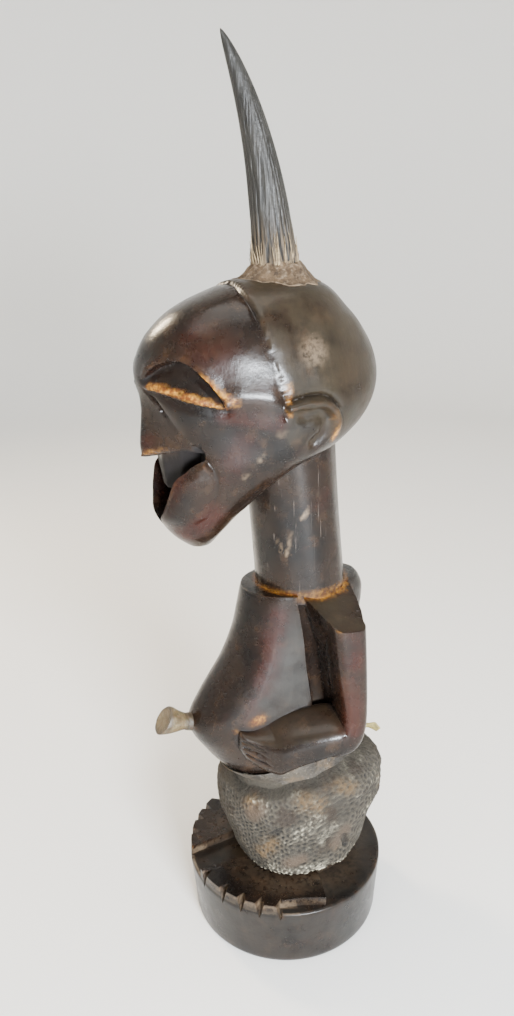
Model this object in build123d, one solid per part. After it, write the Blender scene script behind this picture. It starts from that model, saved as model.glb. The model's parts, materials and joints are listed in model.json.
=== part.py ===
"""Carved standing figure with a crown horn, a belly stopper and a lizard-hide skirt.

Millimetres.  The figure faces -Y, its left hand is on the +X side, +Z is up, and the origin is
the centre of the base's underside.
"""
from build123d import *
import math
import os

# ---------------------------------------------------------------- driving dimensions
BASE_RADIUS = 70.0
BASE_UNDERSIDE_RADIUS = 66.5
DRUM_HEIGHT = 44.0
FOOT_SLAB = 6.5
FOOT_TOP = DRUM_HEIGHT + FOOT_SLAB

TOE_NOTCH_ANGLES = (10.6, 26.9, 39.4, 50.5, 62.3)   # degrees round the rim from the front
TOE_NOTCH_HALF_WIDTH = 2.6
TOE_NOTCH_REACH = 8.0
# Foot outlines seen from above: inner edge, toes outside the rim, then the outer edge and the heel
LEFT_FOOT = (
    (8.0, 8.0),
    (9.0, -37.0),
    (6.5, -80.0),
    (66.0, -60.0),
    (63.5, -33.0),
    (56.5, -30.5),
    (60.5, -16.0),
    (67.0, -1.0),
    (50.0, 3.5),
)
RIGHT_FOOT = (
    (-19.0, 8.0),
    (-19.0, -33.0),
    (-14.5, -80.0),
    (-66.0, -60.0),
    (-63.5, -33.0),
    (-56.5, -30.5),
    (-60.5, -16.0),
    (-67.0, -1.0),
    (-50.0, 3.5),
)

NECK_RADIUS = 29.8
NECK_FOOT = (0.0, 14.3, 250.0)
NECK_TOP = (0.0, 5.4, 352.0)

CROWN_Z = 448.0
HORN_LENGTH = 132.0
HORN_SEAT_DEPTH = 6.0
HORN_FOOT_RADIUS = 14.4
HORN_TIP_RADIUS = 0.8
HORN_TAPER = 0.6                      # power of the remaining length that the radius follows
HORN_LEAN = 12.0                      # forward offset at the tip from the straight lean
HORN_CURL = 19.0                      # further forward offset at the tip from the curl
HORN_WALL = 3.0
HORN_HOLLOW = 0.62                    # share of the horn's length that is hollow
HORN_STATIONS = 9

CROWN_BORE_RADIUS = 9.0
CROWN_BORE_DEPTH = 46.0
COLLAR_RADIUS = 24.0
COLLAR_TOP_RADIUS = 16.5
COLLAR_HEIGHT = 8.0
FIT_GAP = 0.05

BELLY_FRONT = (0.0, -68.0, 166.5)     # where the stopper leaves the belly
STOPPER_RISE = 17.5                   # degrees that the stopper points up, towards its free end
STOPPER_BORE_RADIUS = 6.0
STOPPER_SHANK = 20.0
STOPPER_CLEARANCE = 0.08
STOPPER_HEAD = 20.0
BELLY_BORE_DEPTH = 46.0

HIDE_GAP = 0.35
HIDE_THICKNESS = 2.4
HIDE_HEM_Z = 52.0
HIDE_TOP_Z = 124.0                    # height of the hide's top edge over the base's centre
WAIST_SLOPE = 7.0                     # degrees that the waist rises towards the back

BAND_THICKNESS = 1.6
BAND_WIDTH = 11.0
THONG_THICKNESS = 1.8
THONG_WIDTH = 3.6
LAYER_GAP = 0.1
SLIT_HALF_WIDTH = 7.0
BACK_OF_WAIST = 40.0
KNOT_RADIUS = 5.0
KNOT_Y = 62.5
TAIL_TIP = (11.0, 72.0, 127.0)
TAIL_ROOT_RADIUS = 2.4
TAIL_TIP_RADIUS = 3.6

# Cross-sections as (height, half width, front y, y of the widest place, back y)
HEAD_SECTIONS = (
    (293.0, 9.0, -63.0, -56.0, -48.0),
    (301.0, 17.0, -73.0, -57.0, -41.0),
    (312.0, 23.0, -80.0, -53.0, -29.0),
    (327.0, 31.0, -80.5, -40.0, -11.0),
    (341.0, 39.0, -80.5, -24.0, 8.0),
    (353.0, 45.0, -81.5, -12.0, 36.0),
    (368.0, 49.0, -84.0, -6.0, 54.0),
    (385.0, 51.0, -87.5, -4.0, 62.0),
    (402.0, 50.0, -89.0, -4.0, 60.5),
    (418.0, 46.0, -82.0, -6.0, 53.0),
    (432.0, 39.0, -67.0, -6.0, 41.0),
    (442.0, 31.0, -45.0, -4.0, 31.0),
    (448.0, 26.0, -30.0, -1.0, 25.0),
)
TRUNK_SECTIONS = (
    (118.0, 31.0, -34.0, 10.0, 52.0),
    (133.0, 32.0, -50.0, 8.0, 47.0),
    (147.0, 33.0, -60.0, 6.0, 45.0),
    (166.0, 33.0, -68.5, 4.0, 45.0),
    (184.0, 31.5, -59.0, 5.0, 48.0),
    (205.0, 30.0, -44.0, 8.0, 53.0),
    (225.0, 30.0, -35.0, 10.0, 58.0),
    (242.0, 31.0, -29.5, 12.0, 60.0),
    (255.0, 30.0, -26.0, 12.0, 54.0),
)
# Rounded rectangles as (height, half width, front y, back y, corner radius)
HIP_SECTIONS = (
    (FOOT_TOP, 41.0, -29.0, 43.0, 20.0),
    (70.0, 42.0, -35.0, 56.0, 27.0),
    (92.0, 44.0, -41.0, 70.0, 37.0),
    (109.0, 43.0, -42.0, 67.0, 37.0),
    (122.0, 38.0, -39.0, 58.0, 33.0),
    (132.0, 33.0, -36.0, 49.0, 28.0),
)
LEG_GAP_HALF_WIDTH = 5.0
LEG_GAP_TOP = 84.0

# Upper arm: a squared column from the shoulder slope to the elbow
ARM_INNER_X = 36.0
ARM_OUTER_X = 60.0
ARM_FRONT_Y = 11.0
ARM_BACK_Y = 33.0
ARM_TOP_Z = 244.0
ARM_CORNER = 5.0
ELBOW_Z = 152.0
ELBOW_ROUNDING = 14.0
# Forearm as (y, inner x, outer x, lowest z, highest z), from inside the elbow to the fingertips
FOREARM_SECTIONS = (
    (ARM_BACK_Y - 16.0, 31.0, ARM_OUTER_X, ELBOW_Z, 177.0),
    (2.0, 27.0, 56.5, 148.0, 175.0),
    (-22.0, 20.5, 47.0, 137.5, 168.0),
    (-43.0, 16.0, 31.0, 149.0, 167.0),
)
FOREARM_CORNER = 5.0
FINGER_GROOVES = (152.8, 157.4, 162.0)
FINGER_GROOVE_WIDTH = 1.6
FINGER_GROOVE_LENGTH = 18.0
ARM_WEB_INNER_X = 20.0                # the web between the arm and the back of the trunk
# Shoulder seen from the front, as (x, z): neck's foot, slope, outer end and underside
SHOULDER_OUTLINE = (
    (10.0, 254.5),
    (29.0, 254.5),
    (58.5, ARM_TOP_Z),
    (58.5, ARM_TOP_Z - 12.0),
    (10.0, 215.0),
)

# Nose from the side as (y, z), and from above as (x, y)
NOSE_RIDGE = ((-70.0, 392.0), (-87.0, 388.0), (-88.5, 355.0), (-70.0, 351.0))
NOSE_FLANKS = ((-2.5, -92.0), (2.5, -92.0), (13.0, -60.0), (-13.0, -60.0))
NOSE_HALF_WIDTH = 13.0
NOSE_SPAN = (340.0, 400.0)
# Mouth from the front as (x, z), cut from y = MOUTH_BACK_Y forwards
MOUTH_OUTLINE = (
    (-17.0, 349.0),
    (17.0, 349.0),
    (14.0, 322.0),
    (6.0, 310.0),
    (-6.0, 310.0),
    (-14.0, 322.0),
)
MOUTH_BACK_Y = -60.0
MOUTH_CUT = 40.0
EYE_LENGTH_RADIUS = 24.0
EYE_HEIGHT_RADIUS = 8.0
EYE_CUT = 26.0
EYE_CENTRE = (29.0, -76.0, 396.0)
EYE_DROOP = -22.0                     # degrees that the outer corner is lower
EYE_TURN = 32.0                       # degrees that the eye wraps round the face
EAR_RIM_RADIUS = 14.5
EAR_RIM_DEPTH = 8.0
EAR_RIM_CENTRE = (49.0, -1.0, 370.0)
EAR_HOLLOW_RADIUS = 10.0
EAR_HOLLOW_DEPTH = 6.0
EAR_HOLLOW_CENTRE = (53.0, -2.0, 369.0)
EAR_LEAN = 24.0


def oval(height, half_width, front, widest, back, grow=0.0):
    """Egg-shaped face at one height: two half ellipses that meet at the widest place."""
    half_width += grow
    front_reach = widest - front + grow
    back_reach = back - widest + grow
    with BuildSketch(Plane.XY.offset(height)) as face:
        with BuildLine():
            EllipticalCenterArc((0, widest), half_width, back_reach, 0, arc_size=180)
            EllipticalCenterArc((0, widest), half_width, front_reach, 180, arc_size=180)
        make_face()
    return face.sketch


def rounded(height, half_width, front, back, corner, grow=0.0):
    """Rounded rectangle at one height."""
    face = RectangleRounded(2 * (half_width + grow), back - front + 2 * grow, corner + grow)
    return Pos(0, (front + back) / 2, height) * face


def trunk_body(grow=0.0):
    """Solid that runs through every trunk section in turn."""
    return loft([oval(*section, grow=grow) for section in TRUNK_SECTIONS])


def hip_body(grow=0.0):
    """Solid that runs through every hip section in turn."""
    return loft([rounded(*section, grow=grow) for section in HIP_SECTIONS])


def mirrored_pair(solid):
    """A solid with its mirror image on the other side of the body."""
    return solid + mirror(solid, about=Plane.YZ)


def block(x_range, y_range, z_range):
    """Box between the given limits."""
    size = [high - low for low, high in (x_range, y_range, z_range)]
    centre = [(high + low) / 2 for low, high in (x_range, y_range, z_range)]
    return Pos(*centre) * Box(*size)


def standing(solid_class, *sizes):
    """Solid of revolution that stands on its own plane, centred on the upright axis."""
    return solid_class(*sizes, align=(Align.CENTER, Align.CENTER, Align.MIN))


def toe_notch(angle):
    """Three-cornered cutter at an angle round the rim, points inwards."""
    notch = Polyline(
        (-TOE_NOTCH_HALF_WIDTH, -BASE_RADIUS - 1.0),
        (TOE_NOTCH_HALF_WIDTH, -BASE_RADIUS - 1.0),
        (0.0, -BASE_RADIUS + TOE_NOTCH_REACH),
        close=True,
    )
    return Rot(0, 0, angle) * extrude(make_face(notch), FOOT_SLAB + 1.0)


def base_with_feet():
    """Round base drum and the two flat feet that stand proud of it, with toe notches."""
    feet = None
    for outline in (LEFT_FOOT, RIGHT_FOOT):
        foot = extrude(make_face(Polyline(*outline, close=True)), FOOT_SLAB + 1.0)
        feet = foot if feet is None else feet + foot
    for angle in TOE_NOTCH_ANGLES:
        feet -= toe_notch(angle)
        feet -= toe_notch(-angle)
    rim = standing(Cylinder, BASE_RADIUS, FOOT_TOP)
    drum = standing(Cone, BASE_UNDERSIDE_RADIUS, BASE_RADIUS, DRUM_HEIGHT)
    return drum + (Pos(0, 0, DRUM_HEIGHT - 1.0) * feet & rim)


def hips_and_legs():
    """Heavy hips on two short legs that grow out of the base."""
    ankle = extrude(rounded(DRUM_HEIGHT - 1.0, *HIP_SECTIONS[0][1:]), FOOT_SLAB + 1.0)
    gap = block(
        (-LEG_GAP_HALF_WIDTH, LEG_GAP_HALF_WIDTH),
        (-BASE_RADIUS, BASE_RADIUS),
        (FOOT_TOP - 1.0, LEG_GAP_TOP),
    )
    return hip_body() + ankle - gap


def shoulder():
    """Sloping shoulder: a wedge from the neck's foot down to the top of the upper arm."""
    slope = Polyline(*SHOULDER_OUTLINE, close=True)
    wedge = extrude(Plane.XZ * make_face(slope), -(ARM_BACK_Y - ARM_FRONT_Y - 1.0))
    return Pos(0, ARM_FRONT_Y + 0.5, 0) * wedge


def upper_arm():
    """Squared column with rounded long edges, joined to the back of the trunk."""
    column = block((ARM_INNER_X, ARM_OUTER_X), (ARM_FRONT_Y, ARM_BACK_Y), (ELBOW_Z, ARM_TOP_Z - 4.0))
    elbow_edge = column.edges().filter_by(Axis.X).group_by(Axis.Z)[0].sort_by(Axis.Y)[-1]
    column = fillet(elbow_edge, ELBOW_ROUNDING)
    column = fillet(column.edges().filter_by(Axis.Z), ARM_CORNER)
    web = block(
        (ARM_WEB_INNER_X, ARM_INNER_X + 6.0),
        (ARM_BACK_Y - 14.0, ARM_BACK_Y - 2.0),
        (ELBOW_Z + 8.0, ARM_TOP_Z - 10.0),
    )
    return column + web


def forearm_with_hand():
    """Forearm that runs forward from the elbow and ends in a hand laid on the belly."""
    faces = []
    for y, inner, outer, low, high in FOREARM_SECTIONS:
        centre = Pos((inner + outer) / 2, (low + high) / 2)
        outline = RectangleRounded(outer - inner, high - low, FOREARM_CORNER)
        faces.append(Plane.XZ.offset(-y) * centre * outline)
    limb = loft(faces)
    tip_y, outer = FOREARM_SECTIONS[-1][0], FOREARM_SECTIONS[-1][2]
    for height in FINGER_GROOVES:
        limb -= block(
            (outer - 3.0, outer + 20.0),
            (tip_y - 1.0, tip_y + FINGER_GROOVE_LENGTH),
            (height - FINGER_GROOVE_WIDTH / 2, height + FINGER_GROOVE_WIDTH / 2),
        )
    return limb


def neck():
    """Tall round neck that leans a little forward."""
    foot, top = Vector(*NECK_FOOT), Vector(*NECK_TOP)
    axis = top - foot
    plane = Plane(origin=foot, x_dir=(1, 0, 0), z_dir=axis)
    return plane * standing(Cylinder, NECK_RADIUS, axis.length)


def nose():
    """Long wedge that stands out from between the eyes to above the mouth."""
    low, high = NOSE_SPAN
    ridge = make_face(Polyline(*NOSE_RIDGE, close=True))
    flanks = make_face(Polyline(*NOSE_FLANKS, close=True))
    blade = extrude(Plane.YZ * ridge, NOSE_HALF_WIDTH, both=True)
    return blade & (Pos(0, 0, low) * extrude(flanks, high - low))


def mouth_opening():
    """Open mouth: wide under the nose and narrowing towards the chin."""
    outline = make_face(Polyline(*MOUTH_OUTLINE, close=True))
    return Pos(0, MOUTH_BACK_Y, 0) * extrude(Plane.XZ * outline, MOUTH_CUT)


def eye_socket():
    """Long almond sunk into the face on the +X side."""
    almond = extrude(Plane.XZ * Ellipse(EYE_LENGTH_RADIUS, EYE_HEIGHT_RADIUS), EYE_CUT)
    return Pos(*EYE_CENTRE) * Rot(0, 0, EYE_TURN) * Rot(0, EYE_DROOP, 0) * almond


def ear():
    """C-shaped ear rim round a three-cornered hollow."""
    across = Rot(EAR_LEAN, 0, 0) * Rot(0, 90, 0)
    rim = Pos(*EAR_RIM_CENTRE) * across * Cylinder(EAR_RIM_RADIUS, EAR_RIM_DEPTH)
    hollow = Pos(*EAR_HOLLOW_CENTRE) * across * Cylinder(EAR_HOLLOW_RADIUS, EAR_HOLLOW_DEPTH)
    return rim - hollow


def head():
    """Long skull that slopes from the nape down to a narrow chin."""
    skull = loft([oval(*section) for section in HEAD_SECTIONS])
    skull += nose() + mirrored_pair(ear())
    skull -= mouth_opening()
    for socket in (eye_socket(), mirror(eye_socket(), about=Plane.YZ)):
        skull -= socket
    return skull


def stopper_plane(distance=0.0):
    """Plane across the belly stopper's axis, a distance outside the belly's front."""
    rise = math.radians(STOPPER_RISE)
    outward = Vector(0, -math.cos(rise), math.sin(rise))
    origin = Vector(*BELLY_FRONT) + outward * distance
    return Plane(origin=origin, x_dir=(1, 0, 0), z_dir=outward)


def upright_cylinder(radius, low, high):
    """Round bar on the crown's axis between two heights."""
    return Pos(0, 0, low) * standing(Cylinder, radius, high - low)


def horn_station(share):
    """Centre and outer radius of the horn at a share of its length."""
    centre = Vector(
        0,
        -HORN_LEAN * share - HORN_CURL * share**3,
        CROWN_Z - HORN_SEAT_DEPTH + HORN_LENGTH * share,
    )
    radius = HORN_FOOT_RADIUS * (1 - share) ** HORN_TAPER
    return centre, max(radius, HORN_TIP_RADIUS)


def horn_body(last_share, inset=0.0):
    """Curved cone from the horn's foot up to a share of its length, thinner by the inset."""
    sections = []
    for station in range(HORN_STATIONS):
        share = last_share * station / (HORN_STATIONS - 1)
        centre, radius = horn_station(share)
        slope = Vector(0, -HORN_LEAN - 3 * HORN_CURL * share**2, HORN_LENGTH)
        across = Plane(origin=centre, x_dir=(1, 0, 0), z_dir=slope if station else (0, 0, 1))
        sections.append(across * Circle(radius - inset))
    return loft(sections)


def crown_bore():
    """Cavity bored into the crown, with a shallow seat for the horn's foot above it."""
    bore = upright_cylinder(CROWN_BORE_RADIUS, CROWN_Z - CROWN_BORE_DEPTH, CROWN_Z)
    return horn_body(1.0, -FIT_GAP) + bore


def belly_bar(radius, start, end):
    """Round bar on the stopper's axis between two distances from the belly's front."""
    return stopper_plane(start) * standing(Cylinder, radius, end - start)


def carved_figure():
    """The whole wooden figure, which is cut from one block."""
    figure = base_with_feet() + hips_and_legs()
    figure += trunk_body()
    figure += mirrored_pair(shoulder() + upper_arm() + forearm_with_hand())
    figure += neck()
    figure += head()
    figure -= crown_bore()
    figure -= belly_bar(STOPPER_BORE_RADIUS, -BELLY_BORE_DEPTH, STOPPER_HEAD)
    return figure


def horn_sheath():
    """Hollow horn that stands on the crown."""
    return horn_body(1.0) - horn_body(HORN_HOLLOW, HORN_WALL)


def horn_packing():
    """Packing that fills the horn's hollow."""
    return horn_body(HORN_HOLLOW, HORN_WALL + FIT_GAP)


def resin_collar():
    """Ring of resin that beds the horn on the crown."""
    ring = standing(Cone, COLLAR_RADIUS, COLLAR_TOP_RADIUS, COLLAR_HEIGHT)
    return Pos(0, 0, CROWN_Z) * ring - horn_body(1.0, -FIT_GAP)


def crown_charge():
    """Packing in the crown's cavity, under the horn's foot."""
    low = CROWN_Z - CROWN_BORE_DEPTH
    return upright_cylinder(CROWN_BORE_RADIUS - FIT_GAP, low, CROWN_Z - HORN_SEAT_DEPTH)


def belly_stopper():
    """Stopper: a shank in the belly's bore and a flared, softly domed head outside it."""
    shank = STOPPER_BORE_RADIUS - STOPPER_CLEARANCE
    profile = Polyline(
        (0.0, STOPPER_HEAD - 0.5),
        (0.0, -STOPPER_SHANK),
        (shank - 0.6, -STOPPER_SHANK),
        (shank, -STOPPER_SHANK + 3.0),
        (shank, 3.5),
    )
    flare = Spline((shank, 3.5), (8.2, 9.0), (9.3, 15.0), (8.4, STOPPER_HEAD - 0.5))
    rim = Line((8.4, STOPPER_HEAD - 0.5), (0.0, STOPPER_HEAD - 0.5))
    face = Plane.XZ * make_face([*profile.edges(), flare, rim])
    return stopper_plane() * revolve(face, Axis.Z)


def belly_charge():
    """Packing in the belly's cavity, behind the stopper."""
    return belly_bar(STOPPER_BORE_RADIUS - FIT_GAP, -BELLY_BORE_DEPTH, -STOPPER_SHANK - 0.5)


def wrap(inner_grow, thickness):
    """Skin of the given thickness round the hips, clear of the trunk above them."""
    return hip_body(inner_grow + thickness) - hip_body(inner_grow) - trunk_body(HIDE_GAP)


def waist_slab(low, high):
    """Slab that follows the waist's slope, between two heights over the base's centre."""
    slab = Pos(0, 0, (low + high) / 2) * Box(200.0, 200.0, high - low)
    return slab.rotate(Axis((0, 0, (low + high) / 2), (1, 0, 0)), WAIST_SLOPE)


def hide_skirt():
    """Hide wrapped round the hips and legs, from just above the feet to the waist."""
    skin = wrap(HIDE_GAP, HIDE_THICKNESS)
    below_hem = block((-100.0, 100.0), (-100.0, 100.0), (0.0, HIDE_HEM_Z))
    return (skin & waist_slab(0.0, HIDE_TOP_Z)) - below_hem


def waist_band():
    """Strip of hide turned over the thong, with a slit at the back where the knot comes out."""
    inner = HIDE_GAP + HIDE_THICKNESS + THONG_THICKNESS + 2 * LAYER_GAP
    strip = wrap(inner, BAND_THICKNESS) & waist_slab(HIDE_TOP_Z - BAND_WIDTH, HIDE_TOP_Z)
    slit = block((-SLIT_HALF_WIDTH, SLIT_HALF_WIDTH), (BACK_OF_WAIST, 100.0), (90.0, 150.0))
    return strip - slit


def skirt_tie():
    """Thong round the skirt under the band, with its knot and tails at the small of the back."""
    inner = HIDE_GAP + HIDE_THICKNESS + LAYER_GAP
    middle = HIDE_TOP_Z - BAND_WIDTH / 2
    strip = waist_slab(middle - THONG_WIDTH / 2, middle + THONG_WIDTH / 2)
    thong = wrap(inner, THONG_THICKNESS) & strip
    knot_z = middle + KNOT_Y * math.tan(math.radians(WAIST_SLOPE))
    centre = Vector(0, KNOT_Y, knot_z)
    knot = Pos(*centre) * Sphere(KNOT_RADIUS)
    for side in (-1, 1):
        tip = Vector(side * TAIL_TIP[0], TAIL_TIP[1], TAIL_TIP[2])
        root = Plane(origin=centre, z_dir=tip - centre)
        end = Plane(origin=tip, z_dir=tip - centre)
        knot += loft([root * Circle(TAIL_ROOT_RADIUS), end * Circle(TAIL_TIP_RADIUS)])
    return thong + (knot - hip_body(inner))


NODES = {
    "carved_figure": carved_figure,
    "horn_sheath": horn_sheath,
    "horn_packing": horn_packing,
    "resin_collar": resin_collar,
    "crown_charge": crown_charge,
    "belly_stopper": belly_stopper,
    "belly_charge": belly_charge,
    "hide_skirt": hide_skirt,
    "waist_band": waist_band,
    "skirt_tie": skirt_tie,
}

os.makedirs("parts", exist_ok=True)
for node, make in NODES.items():
    export_step(make(), f"parts/{node}.step")
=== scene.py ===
import json
import math
import random

import bmesh
import bpy
import numpy as np
from mathutils import Matrix, Vector, noise
from mathutils.bvhtree import BVHTree

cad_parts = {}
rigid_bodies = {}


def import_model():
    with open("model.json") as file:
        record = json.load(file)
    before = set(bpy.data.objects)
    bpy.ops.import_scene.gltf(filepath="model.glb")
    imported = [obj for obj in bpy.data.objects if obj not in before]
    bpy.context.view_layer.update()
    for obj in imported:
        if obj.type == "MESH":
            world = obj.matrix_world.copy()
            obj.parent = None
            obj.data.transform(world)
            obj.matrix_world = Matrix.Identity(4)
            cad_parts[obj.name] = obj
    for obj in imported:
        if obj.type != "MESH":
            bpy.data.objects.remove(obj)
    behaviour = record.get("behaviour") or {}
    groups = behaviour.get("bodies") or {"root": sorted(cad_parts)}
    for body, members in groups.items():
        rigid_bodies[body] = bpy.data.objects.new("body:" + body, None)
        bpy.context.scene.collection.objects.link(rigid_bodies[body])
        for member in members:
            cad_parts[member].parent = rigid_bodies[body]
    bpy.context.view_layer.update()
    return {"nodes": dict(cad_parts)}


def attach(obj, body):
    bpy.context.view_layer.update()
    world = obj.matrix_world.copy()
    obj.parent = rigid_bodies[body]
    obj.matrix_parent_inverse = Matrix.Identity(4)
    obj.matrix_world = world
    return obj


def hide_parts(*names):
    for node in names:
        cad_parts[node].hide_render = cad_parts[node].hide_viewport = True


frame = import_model()


# ------------------------------------------------------------------ Camera
# The figure is looked at from its left and a little from the front, from above eye level.
CAMERA_PLACE = (0.44025, -0.20529, 0.47127)
CAMERA_TURN, CAMERA_PITCH, CAMERA_ROLL = 66.76, 18.78, -1.30
LENS_MM = 28.346

lens = bpy.data.cameras.new("view")
lens.sensor_width = 36.0
lens.lens = LENS_MM
lens.clip_start = 0.02
camera = bpy.data.objects.new("view", lens)
camera.matrix_world = (
    Matrix.Translation(CAMERA_PLACE)
    @ Matrix.Rotation(math.radians(CAMERA_TURN), 4, "Z")
    @ Matrix.Rotation(math.radians(90.0 - CAMERA_PITCH), 4, "X")
    @ Matrix.Rotation(math.radians(CAMERA_ROLL), 4, "Z")
)
bpy.context.collection.objects.link(camera)
bpy.context.scene.camera = camera


# ------------------------------------------------------------------ Floor and light
# The figure stands on a wide pale cloth, which rises at the far edge all the way round.
# A cool light stands beside the camera, and a weak warm one behind the figure's right shoulder.
BOWL_RADIUS, BOWL_SWEEP, BOWL_HEIGHT = 2.6, 0.9, 4.2
CLOTH_COLOUR = (0.86, 0.85, 0.825, 1.0)
KEY_AZIMUTH, KEY_HEIGHT, KEY_REACH = 87.0, 0.44, 1.30


def toward(azimuth, distance, height):
    """Place at a compass angle round the figure, where 0 is straight in front of it."""
    angle = math.radians(azimuth)
    return Vector((distance * math.sin(angle), -distance * math.cos(angle), height))


def area_light(name, place, aim, size, power, colour):
    """Soft rectangular lamp that looks at a point."""
    lamp = bpy.data.lights.new(name, "AREA")
    lamp.shape = "RECTANGLE"
    lamp.size, lamp.size_y = size
    lamp.energy = power
    lamp.color = colour
    holder = bpy.data.objects.new(name, lamp)
    holder.location = place
    holder.rotation_euler = (Vector(aim) - Vector(place)).to_track_quat("-Z", "Y").to_euler()
    bpy.context.collection.objects.link(holder)


cloth = bmesh.new()
bmesh.ops.create_circle(cloth, cap_ends=True, cap_tris=True, segments=96, radius=BOWL_RADIUS - BOWL_SWEEP)
rim = [edge for edge in cloth.edges if edge.is_boundary]
for step in range(1, 13):
    lift = step / 12 * math.pi / 2
    raised = bmesh.ops.extrude_edge_only(cloth, edges=rim)["geom"]
    for vert in [item for item in raised if isinstance(item, bmesh.types.BMVert)]:
        level = Vector((vert.co.x, vert.co.y, 0.0)).normalized()
        vert.co = level * (BOWL_RADIUS - BOWL_SWEEP * (1 - math.sin(lift)))
        vert.co.z = BOWL_SWEEP * (1 - math.cos(lift))
    rim = [item for item in raised if isinstance(item, bmesh.types.BMEdge)]
wall = bmesh.ops.extrude_edge_only(cloth, edges=rim)["geom"]
bmesh.ops.translate(cloth, verts=[v for v in wall if isinstance(v, bmesh.types.BMVert)], vec=(0, 0, BOWL_HEIGHT))
bmesh.ops.recalc_face_normals(cloth, faces=cloth.faces)
cloth_mesh = bpy.data.meshes.new("cloth")
cloth.to_mesh(cloth_mesh)
cloth.free()
cloth_mesh.polygons.foreach_set("use_smooth", [True] * len(cloth_mesh.polygons))
backdrop = bpy.data.objects.new("backdrop", cloth_mesh)
bpy.context.collection.objects.link(backdrop)
cloth_paint = bpy.data.materials.new("pale_cloth")
cloth_paint.use_nodes = True
cloth_shader = cloth_paint.node_tree.nodes["Principled BSDF"]
cloth_shader.inputs["Base Color"].default_value = CLOTH_COLOUR
cloth_shader.inputs["Roughness"].default_value = 0.9
cloth_mesh.materials.append(cloth_paint)

area_light("key", toward(KEY_AZIMUTH, KEY_REACH, KEY_HEIGHT), (0, 0, 0.30), (0.46, 0.22), 88.0, (0.88, 0.94, 1.0))
area_light("warm_side", (-0.95, -0.42, 1.05), (0, 0, 0.35), (0.20, 0.20), 16.0, (1.0, 0.80, 0.55))
area_light("overhead", (0.3, -0.2, 2.3), (0, 0, 0.2), (1.6, 1.6), 40.0, (1.0, 0.96, 0.90))
world = bpy.data.worlds.new("room")
world.use_nodes = True
world.node_tree.nodes["Background"].inputs["Color"].default_value = (1.0, 0.95, 0.88, 1.0)
world.node_tree.nodes["Background"].inputs["Strength"].default_value = 0.30
bpy.context.scene.world = world


# ------------------------------------------------------------------ Carved figure
# Base, feet, hips, trunk, arms, neck and head are cut from one block of dark wood, which was
# oiled and handled until it shone, and has worn to gold along its sharp edges.
# Two cavities are bored in it, one in the crown and one in the belly.
MM = 0.001
# (height, half width, front y, y of the widest place, back y), chin to crown
HEAD_RINGS = (
    (290.4, 1.0, -57.0, -56.0, -55.0),
    (291.2, 5.0, -60.5, -56.0, -51.0),
    (293.6, 9.6, -64.5, -56.0, -47.5),
    (301.0, 17.0, -73.0, -57.0, -41.0),
    (312.0, 23.0, -79.5, -53.0, -29.0),
    (327.0, 31.0, -80.5, -40.0, -11.0),
    (341.0, 39.0, -80.5, -24.0, 8.0),
    (353.0, 45.0, -81.5, -12.0, 36.0),
    (368.0, 49.0, -84.0, -6.0, 54.0),
    (385.0, 51.0, -87.0, -4.0, 62.0),
    (402.0, 48.6, -88.6, -4.0, 60.5),
    (418.0, 44.6, -82.0, -6.0, 53.0),
    (432.0, 38.4, -67.0, -6.0, 41.0),
    (442.0, 30.0, -45.0, -4.0, 31.0),
    (447.6, 18.0, -25.0, -1.0, 19.0),
    (449.2, 5.0, -6.0, 0.0, 5.0),
    (449.4, 0.0, 0.0, 0.0, 0.0),
)
# (height, front y, facet x, facet y, side edge x, side edge y, back y), waist to shoulders
TRUNK_RINGS = (
    (112.0, -26.0, 20.0, -14.0, 24.0, 8.0, 44.0),
    (120.0, -36.0, 26.0, -16.0, 30.5, 8.0, 49.0),
    (133.0, -50.5, 27.0, -24.0, 31.5, 8.0, 48.0),
    (147.0, -60.5, 27.5, -30.0, 32.5, 7.5, 46.5),
    (158.0, -67.0, 27.5, -34.0, 33.0, 7.0, 45.5),
    (168.0, -68.6, 27.5, -34.5, 33.0, 7.0, 45.5),
    (184.0, -59.5, 27.0, -30.0, 32.0, 6.0, 47.5),
    (205.0, -44.5, 26.0, -21.5, 30.5, 3.5, 53.0),
    (225.0, -35.0, 25.0, -15.5, 29.3, 2.0, 58.0),
    (242.0, -30.4, 24.8, -12.8, 28.8, -0.5, 60.0),
    (251.0, -28.2, 24.6, -11.6, 28.6, -2.0, 57.0),
    (254.4, -27.0, 24.0, -11.2, 28.2, -2.0, 54.0),
    (255.3, -25.4, 22.6, -10.2, 27.0, -1.4, 51.0),
    (255.6, -12.0, 12.0, -4.0, 14.0, 0.0, 26.0),
    (255.6, 0.0, 0.0, 0.0, 0.0, 0.0, 0.0),
)
TRUNK_AXIS_Y = 9.0
# (height, half width, front y, back y)
HIP_RINGS = (
    (42.0, 0.0, 6.0, 8.0),
    (42.0, 38.5, -27.0, 41.0),
    (70.0, 41.5, -34.0, 55.0),
    (92.0, 43.5, -40.5, 69.5),
    (104.0, 40.5, -38.5, 65.0),
    (111.0, 33.0, -34.0, 54.0),
    (117.0, 26.0, -26.0, 42.0),
    (117.0, 0.0, 6.0, 8.0),
)
# (height, inner x, outer x, front y, back y), elbow to shoulder
ARM_RINGS = (
    (151.6, 48.0, 49.0, 14.0, 15.0),
    (151.6, 40.0, 57.0, 8.0, 21.0),
    (152.8, 37.8, 59.2, 6.5, 25.0),
    (156.0, 36.5, 60.2, 7.5, 29.0),
    (162.0, 36.0, 60.8, 11.0, 32.0),
    (173.0, 36.0, 61.0, 16.5, 33.6),
    (190.0, 36.0, 61.0, 15.5, 33.8),
    (210.0, 36.0, 60.8, 12.8, 33.4),
    (230.0, 36.0, 60.6, 10.8, 32.6),
    (246.0, 36.0, 60.0, 9.0, 32.0),
    (262.0, 36.0, 60.0, 8.5, 32.0),
    (262.0, 46.0, 47.0, 17.0, 18.0),
)
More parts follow.
